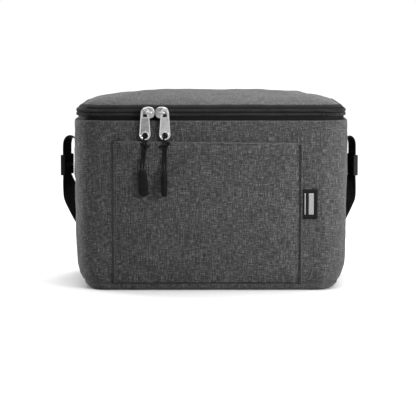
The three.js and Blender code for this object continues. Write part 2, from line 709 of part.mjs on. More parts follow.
function addBox() {
  const low = WALL_LEVELS[0].z;
  const bindingOuter = FOIL_INNER + GAP;
  add(bag, 'outer_wall', wallRing(0, FABRIC, low, RIM_HEIGHT), HEATHER);
  add(bag, 'wall_foam', wallRing(FOAM_OUTER, FOAM_INNER, low, RIM_HEIGHT - 0.1), WHITE_FOAM);
  add(bag, 'inner_liner', innerLiner(), SILVER_FOIL);
  add(bag, 'bottom_panel', bottomPanel(), HEATHER);
  add(bag, 'bottom_foam', bottomFoam(), WHITE_FOAM);
  const binding = wallRing(bindingOuter, bindingOuter + BINDING, BINDING_LOW, RIM_HEIGHT);
  add(bag, 'rim_binding', binding, BLACK_TAPE);
  add(bag, 'front_pocket', pocketPanel(), HEATHER);
  add(bag, 'pocket_label', pocketLabel(), BLACK_TAPE);
}

function addLid() {
  add(bag, 'lid_top', lidTop(), HEATHER);
  add(bag, 'lid_foam', lidFoam(), WHITE_FOAM);
  add(bag, 'lid_liner', lidLiner(), SILVER_FOIL);
  add(bag, 'lid_binding', lidBinding(), BLACK_TAPE);
}

function addZip() {
  const half = GAP / 2;
  const coil = TAPE_DEPTH - COIL_DEPTH - GAP;
  const [under, over] = [ZIP_LINE - half, ZIP_LINE + half];
  add(bag, 'zip_tape_lower', band(upright(TAPE_DEPTH, TAPE, RIM_HEIGHT + GAP, under)), BLACK_TAPE);
  add(bag, 'zip_coil_lower', band(upright(COIL_DEPTH, coil, under - COIL_HEIGHT, under)), BLACK_COIL);
  add(bag, 'zip_tape_upper', band(leaning(over)), BLACK_TAPE);
  add(bag, 'zip_coil_upper', band(upright(COIL_DEPTH, coil, over, over + COIL_HEIGHT)), BLACK_COIL);
  const reach = BAND_END - 2 * GAP;
  const section = leaning(RIM_HEIGHT + GAP);
  const ends = [-reach, reach].map((x) => (
    section.map(([inset, z]) => new THREE.Vector3(x, HALF_DEPTH - inset, z))
  ));
  add(bag, 'hinge_strip', loft(ends, { strips: true }), BLACK_TAPE);
}

// One slider with its puller, cord and grip. The grip hangs a little off the puller's line.
function addSlider(side, { gripX, gripY, tilt, turn }) {
  const mirror = side === 'right';
  const pegX = SLIDER_X[side] + (mirror ? PEG_OFFSET : -PEG_OFFSET);
  add(bag, `zip_slider_${side}`, sliderSolid(mirror), ZINC).position.x = SLIDER_X[side];
  add(bag, `puller_${side}`, pullerSolid(), ZINC).position.set(pegX, PULLER_Y, ZIP_LINE);

  const rim = new THREE.Vector3(pegX, PULLER_Y, PULLER_BOTTOM + PULLER_RIM / 2);
  const grip = new THREE.Vector3(gripX, gripY - PULLER_Y, GRIP_TOP + GAP - rim.z);
  add(bag, `pull_cord_${side}`, cordSolid(grip), BLACK_TAPE).position.copy(rim);
  const handle = add(bag, `pull_grip_${side}`, gripSolid(), BLACK_PLASTIC);
  handle.position.set(pegX + gripX, gripY, GRIP_TOP - GRIP_DROP);
  handle.rotation.set(0, THREE.MathUtils.degToRad(tilt), THREE.MathUtils.degToRad(turn), 'YXZ');
}

function addStrap() {
  add(bag, 'shoulder_strap', strapSolid(), BLACK_TAPE);
  [['left', -1], ['right', 1]].forEach(([name, side]) => {
    add(bag, `strap_anchor_${name}`, strapAnchor(side), BLACK_TAPE);
    const slide = add(bag, `strap_slide_${name}`, strapSlide(), BLACK_PLASTIC);
    const middle = STRAP_ROUTE[side < 0 ? 8 : STRAP_ROUTE.length - 9];
    slide.position.set(middle[0], middle[1], SLIDE_MIDDLE);
    const outwards = side < 0 ? 180 - SLIDE_TWIST.left : SLIDE_TWIST.right;
    slide.rotation.z = THREE.MathUtils.degToRad(outwards);
  });
}

addBox();
addLid();
addZip();
addSlider('left', { gripX: -2.8, gripY: -93.4, tilt: -4, turn: 0 });
addSlider('right', { gripX: -0.5, gripY: -96.2, tilt: 0, turn: 90 });
addStrap();

export default bag;
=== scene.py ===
import math

import bmesh
import bpy
import numpy as np
from mathutils import Matrix, Quaternion, Vector, noise


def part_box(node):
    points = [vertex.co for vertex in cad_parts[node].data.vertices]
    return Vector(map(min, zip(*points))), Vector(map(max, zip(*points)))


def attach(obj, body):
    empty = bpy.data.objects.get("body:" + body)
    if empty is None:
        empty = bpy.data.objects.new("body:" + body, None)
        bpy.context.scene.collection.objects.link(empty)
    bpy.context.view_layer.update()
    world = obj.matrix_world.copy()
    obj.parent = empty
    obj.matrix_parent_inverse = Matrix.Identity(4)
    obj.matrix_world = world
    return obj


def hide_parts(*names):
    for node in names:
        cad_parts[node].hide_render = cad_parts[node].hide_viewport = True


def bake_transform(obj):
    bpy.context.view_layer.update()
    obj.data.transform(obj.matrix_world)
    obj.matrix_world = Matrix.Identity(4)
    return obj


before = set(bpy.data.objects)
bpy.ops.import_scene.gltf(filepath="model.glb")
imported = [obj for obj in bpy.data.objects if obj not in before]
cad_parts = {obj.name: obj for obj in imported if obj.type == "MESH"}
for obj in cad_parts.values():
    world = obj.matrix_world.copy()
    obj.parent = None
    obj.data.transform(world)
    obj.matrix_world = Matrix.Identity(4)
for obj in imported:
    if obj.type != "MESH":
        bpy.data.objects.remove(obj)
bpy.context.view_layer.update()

# An insulated cooler bag. Lengths are in metres, +Z is up and the front faces -Y.
MM = 0.001
HALF_WIDTH = 137.5 * MM
HALF_DEPTH = 85 * MM
CORNER_RADIUS = 28 * MM
RIM_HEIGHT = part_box("outer_wall")[1][2]
FABRIC = 1.2 * MM
GAP = 0.3 * MM
STEP = 4 * MM  # spacing of the cloth's grid

# Height, distance inside the rim's outline, and how far the middle of a side bows out, in mm.
WALL_LEVELS = [
    (7.8, 5.2, 0), (11, 4, 0.3), (18, 2.6, 1), (30, 1.8, 1.8), (60, 1.4, 2.8), (100, 1, 3), (140, 0.4, 1.8),
    (171, 0, 0),
]
WALL_BOTTOM = WALL_LEVELS[0][0] * MM
BASE_LEVELS = [(6.6, 4.9, 0), (3.0, 4.7, 0), (0.8, 5.8, 0), (0, 10, 0), (0, 85, 0)]
LID_LEVELS = [
    (185.6, 7, 0), (188, 12, 0), (190.4, 24, 0), (193, 39, 0), (195.6, 56, 0), (197.6, 70, 0), (199, 85, 0),
]


# ---------------------------------------------------------------- meshes
def smooth_all(mesh):
    """Smooth shading on every face."""
    mesh.polygons.foreach_set("use_smooth", [True] * len(mesh.polygons))


def piece_from(name, points, faces, uvs=None):
    """A mesh object. uvs holds one (u, v) for each corner of each face, in the order of the faces."""
    mesh = bpy.data.meshes.new(name)
    mesh.from_pydata([tuple(p) for p in points], [], [tuple(f) for f in faces])
    if uvs is not None:
        layer = mesh.uv_layers.new(name="UVMap")
        layer.data.foreach_set("uv", np.asarray(uvs, np.float32).ravel())
    smooth_all(mesh)
    mesh.update()
    piece = bpy.data.objects.new(name, mesh)
    bpy.context.scene.collection.objects.link(piece)
    return piece


def vectors_of(items, key):
    """A vector of every point of a mesh, as rows of an array."""
    flat = np.zeros(len(items) * 3, np.float32)
    items.foreach_get(key, flat)
    return flat.reshape(-1, 3).astype(float)


def points_of(piece):
    return vectors_of(piece.data.vertices, "co")


def normals_of(piece):
    return vectors_of(piece.data.vertex_normals, "vector")


def set_points(piece, points):
    """Moves the piece's points to new places, in the same order."""
    piece.data.vertices.foreach_set("co", np.asarray(points, np.float32).ravel())
    piece.data.update()


def bake_modifiers(piece):
    """Replaces the piece's mesh by what its modifiers make of it."""
    shown = piece.evaluated_get(bpy.context.evaluated_depsgraph_get())
    mesh = bpy.data.meshes.new_from_object(shown)
    old = piece.data
    piece.modifiers.clear()
    piece.data = mesh
    bpy.data.meshes.remove(old)


def subdivide(piece):
    smoother = piece.modifiers.new("smoother", "SUBSURF")
    smoother.levels = smoother.render_levels = 1
    bake_modifiers(piece)


def thicken(piece, thickness):
    """Gives a sheet its thickness, inwards."""
    solid = piece.modifiers.new("solid", "SOLIDIFY")
    solid.thickness = thickness
    solid.offset = -1
    solid.use_even_offset = True
    bake_modifiers(piece)


def agree(piece, merge=None):
    """Makes the faces point the same way, out of a closed piece, after merging points closer than merge."""
    mesh = bmesh.new()
    mesh.from_mesh(piece.data)
    if merge:
        bmesh.ops.remove_doubles(mesh, verts=mesh.verts, dist=merge)
    bmesh.ops.recalc_face_normals(mesh, faces=mesh.faces)
    mesh.to_mesh(piece.data)
    mesh.free()


def ripple(piece, height, size, seed=0.0, fade=None):
    """Moves each point along its normal by smooth noise with the given height and size, in metres."""
    points, normals = points_of(piece), normals_of(piece)
    for i, (point, normal) in enumerate(zip(points, normals)):
        strength = 1.0 if fade is None else fade(point)
        if strength > 0:
            value = noise.noise(Vector(point) / size + Vector((seed, 1.7 * seed, -seed)))
            points[i] = point + normal * value * height * strength
    set_points(piece, points)


def smoothstep(value, low, high):
    """0 up to low and 1 from high on, with a smooth change between."""
    t = min(max((value - low) / (high - low), 0.0), 1.0)
    return t * t * (3 - 2 * t)


def ring_faces(rings, count, first=0):
    """The faces between closed rings of points that follow each other, from a first point on."""
    faces = []
    for k in range(rings - 1):
        here, there = first + k * count, first + (k + 1) * count
        for i in range(count):
            j = (i + 1) % count
            faces.append((here + i, here + j, there + j, there + i))
    return faces


def end_faces(rings, count, first=0):
    """The two faces that close the first and the last ring."""
    last = first + (rings - 1) * count
    return [list(range(first, first + count))[::-1], list(range(last, last + count))]


def lengths_along(line):
    """How far each point of a line is from its start."""
    total = [0.0]
    for here, there in zip(line, line[1:]):
        total.append(total[-1] + (there - here).length)
    return total


def at_distance(line, outs, travelled, distance):
    """The place at a distance along a line, and the way out of the cloth there."""
    k = int(np.clip(np.searchsorted(travelled, distance, side="right") - 1, 0, len(line) - 2))
    t = (distance - travelled[k]) / max(travelled[k + 1] - travelled[k], 1e-9)
    return line[k].lerp(line[k + 1], t), Vector(outs[k]).lerp(Vector(outs[k + 1]), t).normalized()


def arc(radius, start, turn, steps, across=0.0, up=0.0):
    """Points (across, up) of a round stretch about a middle, with both ends."""
    angles = [start + turn * k / steps for k in range(steps + 1)]
    return [(across + radius * math.cos(a), up + radius * math.sin(a)) for a in angles]


def squarish(half_across, half_up, power, count):
    """Points (across, up) of a rectangle with very round corners; a smaller power makes it squarer."""
    ring = arc(1.0, 0, 2 * math.pi, count)[:-1]
    return [
        (half_across * math.copysign(abs(c) ** power, c), half_up * math.copysign(abs(s) ** power, s))
        for c, s in ring
    ]


# ---------------------------------------------------------------- shells that follow the bag's outline
def resampled(levels, spacing=None, count=None):
    """Levels in metres, evenly spaced along the section, with their corners softened."""
    rows = np.array(levels, float) * MM
    along = np.concatenate([[0], np.cumsum(np.hypot(np.diff(rows[:, 0]), np.diff(rows[:, 1])))])
    count = count or max(2, round(along[-1] / spacing))
    even = np.linspace(0, along[-1], count + 1)
    result = np.stack([np.interp(even, along, rows[:, k]) for k in range(3)], axis=1)
    for _ in range(2):
        result[1:-1] = (result[:-2] + 2 * result[1:-1] + result[2:]) / 4
    return result, even


def deeper(levels, depth):
    """Wall levels moved inwards by a depth in mm."""
    return [(z, inset + depth, bow) for z, inset, bow in levels]


COLUMNS = 2 * 21 + 26  # grid steps across the bag's width
ROWS = 2 * 21  # and along its depth


def on_outline(x, y, half_x, half_y, inset, bow):
    """A point of a rectangle's edge, moved on to the rounded and bowed outline of the same size."""
    radius = max(CORNER_RADIUS - inset, 6 * MM)
    radius = min(radius, half_x, half_y)
    to_x, to_y = half_x - abs(x), half_y - abs(y)
    sign_x, sign_y = math.copysign(1, x), math.copysign(1, y)
    on_side = to_x <= to_y
    leg = to_y if on_side else to_x
    if leg < radius:
        angle = math.pi / 4 * (1 - leg / radius)
        if not on_side:
            angle = math.pi / 2 - angle
        return (
            sign_x * (half_x - radius + radius * math.cos(angle)),
            sign_y * (half_y - radius + radius * math.sin(angle)),
        )
    if on_side:
        t = y / max(half_y - radius, 1e-6)
        return (x + sign_x * bow * (1 - t * t), y)
    t = x / max(half_x - radius, 1e-6)
    return (x, y + sign_y * bow / 3 * (1 - t * t))


def ring_walk():
    """The grid's edge, from the back left corner down the left side, round the front and back."""
    walk = [(0, row) for row in range(ROWS, 0, -1)]
    walk += [(column, 0) for column in range(COLUMNS)]
    walk += [(COLUMNS, row) for row in range(ROWS)]
    walk += [(column, ROWS) for column in range(COLUMNS, 0, -1)]
    return walk


def grid_point(column, row, ring, z, inset, bow):
    """Where a grid point on a given ring lies. Ring 0 is the grid's edge."""
    half_x, half_y = HALF_WIDTH - inset, HALF_DEPTH - inset
    s = (column - COLUMNS / 2) / (COLUMNS / 2 - ring)
    t = (row - ROWS / 2) / (ROWS / 2 - ring) if ring < ROWS / 2 else 0.0
    x, y = on_outline(s * half_x, t * half_y, half_x, half_y, inset, bow)
    return (x, y, z)


def ring_at(z, inset, bow=0.0):
    """Points of the bag's outline at a height, in metres."""
    return [Vector(grid_point(column, row, 0, z, inset, bow)) for column, row in ring_walk()]


def shell(name, side=(), cap=(), spacing=STEP):
    """A sheet that follows the bag's outline through the side's levels, and closes over the middle through
    the cap's, which end at the middle. Returns the piece, its points on the first ring, and on the last."""
    walk = ring_walk()
    count = len(walk)
    rim = ring_at(0, 0)
    lengths = lengths_along(rim + rim[:1])
    points = []
    if len(side):
        rings, along = resampled(side, spacing=spacing)
    else:
        rings, along = resampled(cap, count=ROWS // 2)
        rings = rings[:1]
    for z, inset, bow in rings:
        points += [grid_point(c, r, 0, z, inset, bow) for c, r in walk]
    faces = ring_faces(len(rings), count)
    uvs = []
    for v0, v1 in zip(along, along[1:len(rings)]):
        for u0, u1 in zip(lengths, lengths[1:]):
            uvs += [(u0, v0), (u1, v0), (u1, v1), (u0, v1)]
    last_ring = list(range(len(points) - count, len(points)))
    if len(cap):
        inner, _ = resampled(cap, count=ROWS // 2)
        at = dict(zip(walk, last_ring))
        for column in range(COLUMNS + 1):
            for row in range(ROWS + 1):
                ring = min(column, COLUMNS - column, row, ROWS - row)
                if ring > 0:
                    at[(column, row)] = len(points)
                    points.append(grid_point(column, row, ring, *inner[ring]))
        for column in range(COLUMNS):
            for row in range(ROWS):
                corners = [(column, row), (column + 1, row), (column + 1, row + 1), (column, row + 1)]
                faces.append([at[c] for c in corners])
                uvs += [(points[at[c]][0], points[at[c]][1]) for c in corners]
    piece = piece_from(name, points, faces, uvs)
    face_out(piece)
    return piece, list(range(count)), last_ring


def face_out(piece):
    """Turns the sheet's outer side away from the middle of the bag."""
    agree(piece)
    middle = Vector((0, 0, 0.1))
    votes = sum(1 if (p.center - middle).dot(p.normal) > 0 else -1 for p in piece.data.polygons)
    if votes < 0:
        piece.data.flip_normals()


# ---------------------------------------------------------------- cloth
CLOTH_FRAMES = 20
CLOTH_STIFFNESS = 12.0
CREEP = 1.5 * MM  # how far a point may move sideways


def simulate(piece, pinned, pressure, out_limit, in_limit, spare):
    """Lets the sheet swell like padded cloth, held at the pinned points, and caps how far it moves."""
    start = points_of(piece)
    normals = normals_of(piece)
    group = piece.vertex_groups.new(name="pinned")
    group.add([int(i) for i in pinned], 1.0, "REPLACE")
    cloth = piece.modifiers.new("cloth", "CLOTH")
    settings = cloth.settings
    settings.quality = 6
    settings.mass = 0.25
    settings.tension_stiffness = settings.compression_stiffness = CLOTH_STIFFNESS
    settings.shear_stiffness = CLOTH_STIFFNESS * 0.6
    settings.bending_stiffness = 0.4
    settings.air_damping = 2
    settings.vertex_group_mass = "pinned"
    settings.use_pressure = True
    settings.uniform_pressure_force = pressure
    settings.shrink_min = -spare
    settings.effector_weights.gravity = 0
    cloth.collision_settings.use_collision = False
    cloth.point_cache.frame_start = 1
    cloth.point_cache.frame_end = CLOTH_FRAMES
    scene = bpy.context.scene
    for number in range(1, CLOTH_FRAMES + 1):
        scene.frame_set(number)
    bake_modifiers(piece)
    moved = points_of(piece) - start
    out = (moved * normals).sum(axis=1)
    # The swelling is eased towards its cap, and sideways creep is kept small.
    eased = np.where(out > 0, out_limit * np.tanh(out / out_limit), -in_limit * np.tanh(-out / in_limit))
    sideways = moved - normals * out[:, None]
    reach = np.linalg.norm(sideways, axis=1)
    sideways *= (CREEP * np.tanh(reach / CREEP) / np.maximum(reach, 1e-9))[:, None]
    set_points(piece, start + normals * eased[:, None] + sideways)
    scene.frame_set(1)
    piece.vertex_groups.clear()


# ---------------------------------------------------------------- materials
class Look:
    """A material under construction: a short way to add and join shader nodes."""

    def __init__(self, name, colour=(0.5, 0.5, 0.5), roughness=0.8, metallic=0.0, specular=0.5):
        self.material = bpy.data.materials.new(name)
        self.material.use_nodes = True
        self.tree = self.material.node_tree
        self.shader = self.tree.nodes["Principled BSDF"]
        self.shader.inputs["Base Color"].default_value = (*colour, 1)
        self.shader.inputs["Roughness"].default_value = roughness
        self.shader.inputs["Metallic"].default_value = metallic
        self.shader.inputs["Specular IOR Level"].default_value = specular

    def node(self, kind, **values):
        made = self.tree.nodes.new("ShaderNode" + kind)
        for key, value in values.items():
            setattr(made, key, value)
        return made

    def feed(self, socket, value):
        if isinstance(value, bpy.types.NodeSocket):
            self.tree.links.new(value, socket)
        else:
            socket.default_value = value

    def maths(self, operation, *values):
        made = self.node("Math", operation=operation)
        for socket, value in zip(made.inputs, values):
            self.feed(socket, value)
        return made.outputs[0]

    def coordinates(self, kind):
        return self.node("TexCoord").outputs[kind]

    def split(self, vector):
        made = self.node("SeparateXYZ")
        self.feed(made.inputs[0], vector)
        return made.outputs

    def scaled(self, vector, scale, shift=(0, 0, 0)):
        made = self.node("Mapping")
        self.feed(made.inputs["Vector"], vector)
        made.inputs["Scale"].default_value = scale
        made.inputs["Location"].default_value = shift
        return made.outputs[0]

    def noise(self, where, scale, shift=(0, 0, 0), detail=2.0, roughness=0.5):
        """Noise with so many grains per metre along each axis."""
        made = self.node("TexNoise")
        self.feed(made.inputs["Vector"], self.scaled(where, scale, shift))
        made.inputs["Scale"].default_value = 1
        made.inputs["Detail"].default_value = detail
        made.inputs["Roughness"].default_value = roughness
        return made.outputs[0]

    def blend(self, *pairs):
        """The sum of values times their shares."""
        total = 0.0
        for value, share in pairs:
            total = self.maths("MULTIPLY_ADD", value, share, total)
        return total

    def ramp(self, value, stops):
        """Colours at places along the value; a number stands for a grey."""
        made = self.node("ValToRGB")
        self.feed(made.inputs[0], value)
        band = made.color_ramp
        while len(band.elements) < len(stops):
            band.elements.new(0.5)
        for element, (place, colour) in zip(band.elements, stops):
            element.position = place
            element.color = (*((colour,) * 3 if isinstance(colour, (int, float)) else colour), 1)
        return made.outputs[0]

    def wave(self, coordinate, period):
        """A sine from 0 to 1 along one coordinate."""
        turned = self.maths("MULTIPLY", coordinate, 2 * math.pi / period)
        return self.maths("MULTIPLY_ADD", self.maths("SINE", turned), 0.5, 0.5)

    def colour(self, value):
        self.feed(self.shader.inputs["Base Color"], value)

    def roughness(self, value, low, high):
        made = self.node("MapRange")
        self.feed(made.inputs["Value"], value)
        made.inputs["To Min"].default_value = low
        made.inputs["To Max"].default_value = high
        self.feed(self.shader.inputs["Roughness"], made.outputs[0])

    def bump(self, height, distance, strength):
        made = self.node("Bump")
        self.feed(made.inputs["Height"], height)
        made.inputs["Distance"].default_value = distance
        made.inputs["Strength"].default_value = strength
        self.feed(self.shader.inputs["Normal"], made.outputs[0])


def heather(name):
    """Two-tone canvas: light and dark fibres in a plain weave, with slubs along both threads."""
    look = Look(name, roughness=0.92, specular=0.2)
    where = look.coordinates("UV")
    warp = look.noise(where, (1500, 190, 190), detail=3, roughness=0.6)
    weft = look.noise(where, (190, 1500, 1500), (7, 3, 1), detail=3, roughness=0.6)
    slubs = look.noise(where, (90, 1500, 1500), (4, 4, 2))
    ticks = look.noise(where, (1400, 45, 45), (9, 1, 5))
    fibres = look.blend((warp, 0.32), (weft, 0.32), (slubs, 0.17), (ticks, 0.19))
    shade = look.ramp(fibres, [(0.40, 0.006), (0.47, 0.019), (0.52, 0.040), (0.60, 0.11)])
    cloud = look.noise(where, (28, 28, 28), (1, 2, 3), detail=3)
    tint = look.node("Mix", data_type="RGBA", blend_type="MULTIPLY")
    tint.inputs["Factor"].default_value = 1
    look.feed(tint.inputs[6], shade)
    look.feed(tint.inputs[7], look.ramp(cloud, [(0.3, 0.84), (0.7, 1.0)]))
    look.colour(tint.outputs[2])
    along, up, _ = look.split(where)
    threads = look.maths("MULTIPLY", look.wave(along, 0.00062), look.wave(up, 0.00062))
    look.bump(look.blend((threads, 1.0), (fibres, 2.5)), 0.00022, 0.8)
    look.roughness(fibres, 0.82, 0.98)
    look.shader.inputs["Sheen Weight"].default_value = 0.1
    look.shader.inputs["Sheen Roughness"].default_value = 0.5
    look.shader.inputs["Sheen Tint"].default_value = (0.8, 0.8, 0.82, 1)
    return look.material


def black_weave(name, rib, cross, base, top, depth):
    """Tape or webbing: ribs across it, with a finer beat of threads along it."""
    look = Look(name, roughness=0.8, specular=0.1)
    where = look.coordinates("UV")
    along, across, _ = look.split(where)
    ribs = look.wave(along, rib)
    half = look.maths("MULTIPLY", look.maths("ROUND", look.maths("DIVIDE", along, rib)), cross / 2)
    beat = look.wave(look.maths("ADD", across, half), cross)
    height = look.blend((ribs, 0.6), (beat, 0.4))
    fuzz = look.noise(where, (2500, 2500, 2500))
    shade = look.blend((height, 0.7), (fuzz, 0.3))
    look.colour(look.ramp(shade, [(0.2, base * 0.5), (0.55, base), (0.95, top)]))
    look.bump(look.blend((height, 1.0), (fuzz, 0.3)), depth, 0.9)
    look.roughness(fuzz, 0.55, 0.85)
    return look.material


def moulded(name, base, grain=900, roughness=(0.34, 0.5)):
    """Black moulded plastic: satin, with a fine spark-eroded grain and faint rub marks."""
    look = Look(name, (base,) * 3, specular=0.08)
    where = look.coordinates("Object")
    fine = look.noise(where, (grain,) * 3, detail=3)
    rubs = look.noise(where, (60, 60, 240), detail=4)
    look.colour(look.ramp(rubs, [(0.35, base), (0.75, base * 2.2)]))
    look.roughness(look.blend((fine, 0.5), (rubs, 0.5)), *roughness)
    look.bump(fine, 0.00008, 0.6)
    return look.material


def plated(name, mottle=0.0, tone=0.62):
    """Nickel-plated zinc: polished, with fine scratches and, in the recesses, a cast mottle."""
    look = Look(name, (tone,) * 3, metallic=1.0, roughness=0.25)
    where = look.coordinates("Object")
    scratches = look.noise(where, (4000, 400, 500), detail=3)
    cloud = look.noise(where, (900, 900, 900), detail=3)
    look.colour(look.ramp(cloud, [(0.3, tone * (1 - 0.55 * mottle)), (0.7, tone)]))
    look.roughness(look.blend((scratches, 0.6), (cloud, 0.4)), 0.14 + 0.25 * mottle, 0.34 + 0.3 * mottle)
    look.bump(look.blend((cloud, 1.0), (scratches, 0.3)), 0.00006 + 0.0003 * mottle, 0.5)
    return look.material


def foil(name):
    """Silver lining: a bright film with fine crinkles and a net of folds."""
    look = Look(name, (0.4, 0.41, 0.42), metallic=0.8, roughness=0.34)
    where = look.coordinates("Object")
    crinkle = look.noise(where, (160, 160, 160), detail=6, roughness=0.62)
    cells = look.node("TexVoronoi", feature="DISTANCE_TO_EDGE")
    look.feed(cells.inputs["Vector"], look.scaled(where, (70, 70, 70)))
    folds = look.maths("MINIMUM", cells.outputs["Distance"], 0.12)
    look.bump(look.blend((crinkle, 1.0), (folds, 4)), 0.0009, 0.55)
    look.roughness(crinkle, 0.22, 0.45)
    look.colour(look.ramp(crinkle, [(0.3, (0.24, 0.245, 0.255)), (0.7, (0.40, 0.405, 0.415))]))
    return look.material


def foam(name):
    """White closed-cell foam."""
    look = Look(name, (0.78, 0.78, 0.76), roughness=0.9)
    cells = look.node("TexVoronoi")
    look.feed(cells.inputs["Vector"], look.scaled(look.coordinates("Object"), (900, 900, 900)))
    distance = cells.outputs["Distance"]
    look.colour(look.ramp(distance, [(0.0, 0.82), (0.8, 0.6)]))
    look.bump(distance, 0.0003, 0.7)
    look.roughness(distance, 0.8, 0.98)
    return look.material


def thread(name, tone):
    """Twisted sewing thread."""
    look = Look(name, (tone,) * 3, roughness=0.6)
    twist = look.noise(look.coordinates("Object"), (3000, 3000, 3000))
    look.colour(look.ramp(twist, [(0.3, tone * 0.5), (0.7, tone * 1.5)]))
    look.bump(twist, 0.0001, 0.7)
    look.roughness(twist, 0.5, 0.75)
    return look.material


HEATHER = heather("heather_canvas")
# Each weave: spacing of its ribs and of its cross threads in metres, dark and light tone, depth in metres.
TAPE = black_weave("zip_tape_weave", 0.0009, 0.0014, 0.007, 0.018, 0.0002)
TAPE_BAND = black_weave("zip_tape_band", 0.0010, 0.0009, 0.003, 0.009, 0.00025)
WEBBING = black_weave("strap_webbing", 0.0017, 0.0026, 0.004, 0.012, 0.0005)
WEBBING_UPRIGHT = black_weave("webbing_upright", 0.0026, 0.0017, 0.005, 0.014, 0.0005)
CORD = black_weave("cord_braid", 0.0010, 0.0012, 0.003, 0.009, 0.0002)
LABEL_CLOTH = black_weave("label_weave", 0.0005, 0.0007, 0.003, 0.008, 0.0001)
PALE_THREAD = black_weave("label_motif_weave", 0.0005, 0.0007, 0.20, 0.30, 0.0001)
NYLON = moulded("coil_nylon", base=0.02, grain=2500, roughness=(0.3, 0.5))
PLASTIC = moulded("moulded_plastic", base=0.004)
GRIP_PLASTIC = moulded("grip_rubber", base=0.0022, grain=1500, roughness=(0.55, 0.75))
ZINC = plated("plated_zinc")
ZINC_BODY = plated("plated_zinc_body", mottle=0.5, tone=0.40)
# A dark moulded look, used only as painted shade inside the pullers' windows.
WINDOW_SHADE_LOOK = moulded("painted_window_shade_look", base=0.012, grain=1800, roughness=(0.5, 0.7))
# The pullers' recessed fields have a cast mottle that both share. On top of that is painted shade and light:
# the left field is darker and the right one lighter, as light falls on them, though both are the same plated
# metal.
ZINC_FIELDS_SHADED_AND_LIT = {
    "left": plated("plated_zinc_field_shaded_left", mottle=1.0, tone=0.34),
    "right": plated("plated_zinc_field_lit_right", mottle=0.6, tone=0.50),
}
FOIL_LOOK = foil("silver_lining")
FOAM_LOOK = foam("white_foam")
GREY_THREAD = thread("grey_thread", 0.035)
# Black thread look, used only for tubes of painted shade: in the pocket's mouth, along its left edge and at
# the base seam.
SHADE_THREAD = thread("painted_shade_thread", 0.012)


def finish_piece(piece, material, body, slot, *nodes):
    """Gives a piece its material and body, and hides the CAD nodes it stands for. Its slot is not used."""
    piece.data.materials.clear()
    piece.data.materials.append(material)
    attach(piece, body)
    if nodes:
        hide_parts(*nodes)
    return piece


# ---------------------------------------------------------------- camera, floor and light
CAMERA_PLACE = Vector((-0.003, -1.985, 0.275))
AIM = Vector((-0.003, -0.085, 0.0837))
VIEW_WIDTH = 0.416  # width of the picture at the front of the bag


def place_item(name, data, place, target):
    """Adds a camera or lamp at a place, looking at a target."""
    item = bpy.data.objects.new(name, data)
    bpy.context.scene.collection.objects.link(item)
    item.location = place
    item.rotation_euler = (Vector(target) - Vector(place)).to_track_quat("-Z", "Y").to_euler()
    return item


def add_camera():
    data = bpy.data.cameras.new("camera")
    data.sensor_width = 36
    data.lens = 36 * (AIM - CAMERA_PLACE).length / VIEW_WIDTH
    data.clip_end = 50
    bpy.context.scene.camera = place_item("camera", data, CAMERA_PLACE, AIM)


def add_lamp(name, kind, power, place, target, **settings):
    """A lamp of a kind. Area lamps are rectangles that the camera doesn't see."""
    data = bpy.data.lights.new(name, kind)
    if kind == "AREA":
        data.shape = "RECTANGLE"
    data.energy = power
    for key, value in settings.items():
        setattr(data, key, value)
    place_item(name, data, place, target).visible_camera = kind != "AREA"


def add_lights():
    add_lamp("overhead", "SUN", 6.0, (0.08, 0.04, 1.0), (0, 0, 0), angle=math.radians(70))
    add_lamp("key", "SPOT", 175, (1.0, -1.0, 0.55), (0.2, -0.05, 0.13),
             spot_size=math.radians(27), spot_blend=1.0, shadow_soft_size=0.12)
    add_lamp("left_rim", "AREA", 17, (-0.95, 0.55, 0.25), (-0.1, 0, 0.12), size=0.25, size_y=0.8)
    add_lamp("back", "AREA", 4.5, (0.25, 1.0, 0.65), (0.03, 0, 0.19), size=0.9, size_y=0.3)


def add_world():
    """White behind the bag for the camera, and half as bright for light."""
    world = bpy.data.worlds.new("studio")
    bpy.context.scene.world = world
    world.use_nodes = True
    tree = world.node_tree
    path = tree.nodes.new("ShaderNodeLightPath")
    mix = tree.nodes.new("ShaderNodeMixShader")
    tree.links.new(path.outputs["Is Camera Ray"], mix.inputs[0])
    backgrounds = [(tree.nodes["Background"], 0.5), (tree.nodes.new("ShaderNodeBackground"), 1.0)]
    for k, (background, strength) in enumerate(backgrounds):
        background.inputs["Color"].default_value = (1, 1, 1, 1)
        background.inputs["Strength"].default_value = strength
        tree.links.new(background.outputs[0], mix.inputs[1 + k])
    tree.links.new(mix.outputs[0], tree.nodes["World Output"].inputs["Surface"])


def add_floor():
    size = 8
    corners = [(-size, -size, 0), (size, -size, 0), (size, size, 0), (-size, size, 0)]
    floor = piece_from("floor", corners, [(0, 1, 2, 3)])
    paper = Look("floor_paper", (0.47, 0.47, 0.47), roughness=0.9, specular=0.1)
    floor.data.materials.append(paper.material)


bpy.context.scene.view_settings.view_transform = "Standard"
add_camera()
add_lights()
add_world()
add_floor()


# ---------------------------------------------------------------- cords and strap
def catmull_rom(route, samples):
    """Points and directions along a smooth curve through the route, with its ends carried on straight."""
    route = [Vector(p) for p in route]
    points = [route[0] * 2 - route[1], *route, route[-1] * 2 - route[-2]]
    places, ways = [], []
    last = len(route) - 1
    for i in range(last * samples + 1):
        span = min(i // samples, last - 1)
        t = i / samples - span
        p0, p1, p2, p3 = points[span:span + 4]
        slope1, slope2 = (p2 - p0) / 2, (p3 - p1) / 2
        cube = 2 * p1 - 2 * p2 + slope1 + slope2
        square = -3 * p1 + 3 * p2 - 2 * slope1 - slope2
        places.append(cube * t ** 3 + square * t ** 2 + slope1 * t + p1)
        ways.append((3 * cube * t ** 2 + 2 * square * t + slope1).normalized())
    return places, ways


def swept_rows(places, ways, acrosses, section):
    """The section, as (across, through), set at each place of a curve."""
    rows = []
    for place, way, across in zip(places, ways, acrosses):
        through = way.cross(across).normalized()
        rows.append([place + across * a + through * b for a, b in section])
    return rows


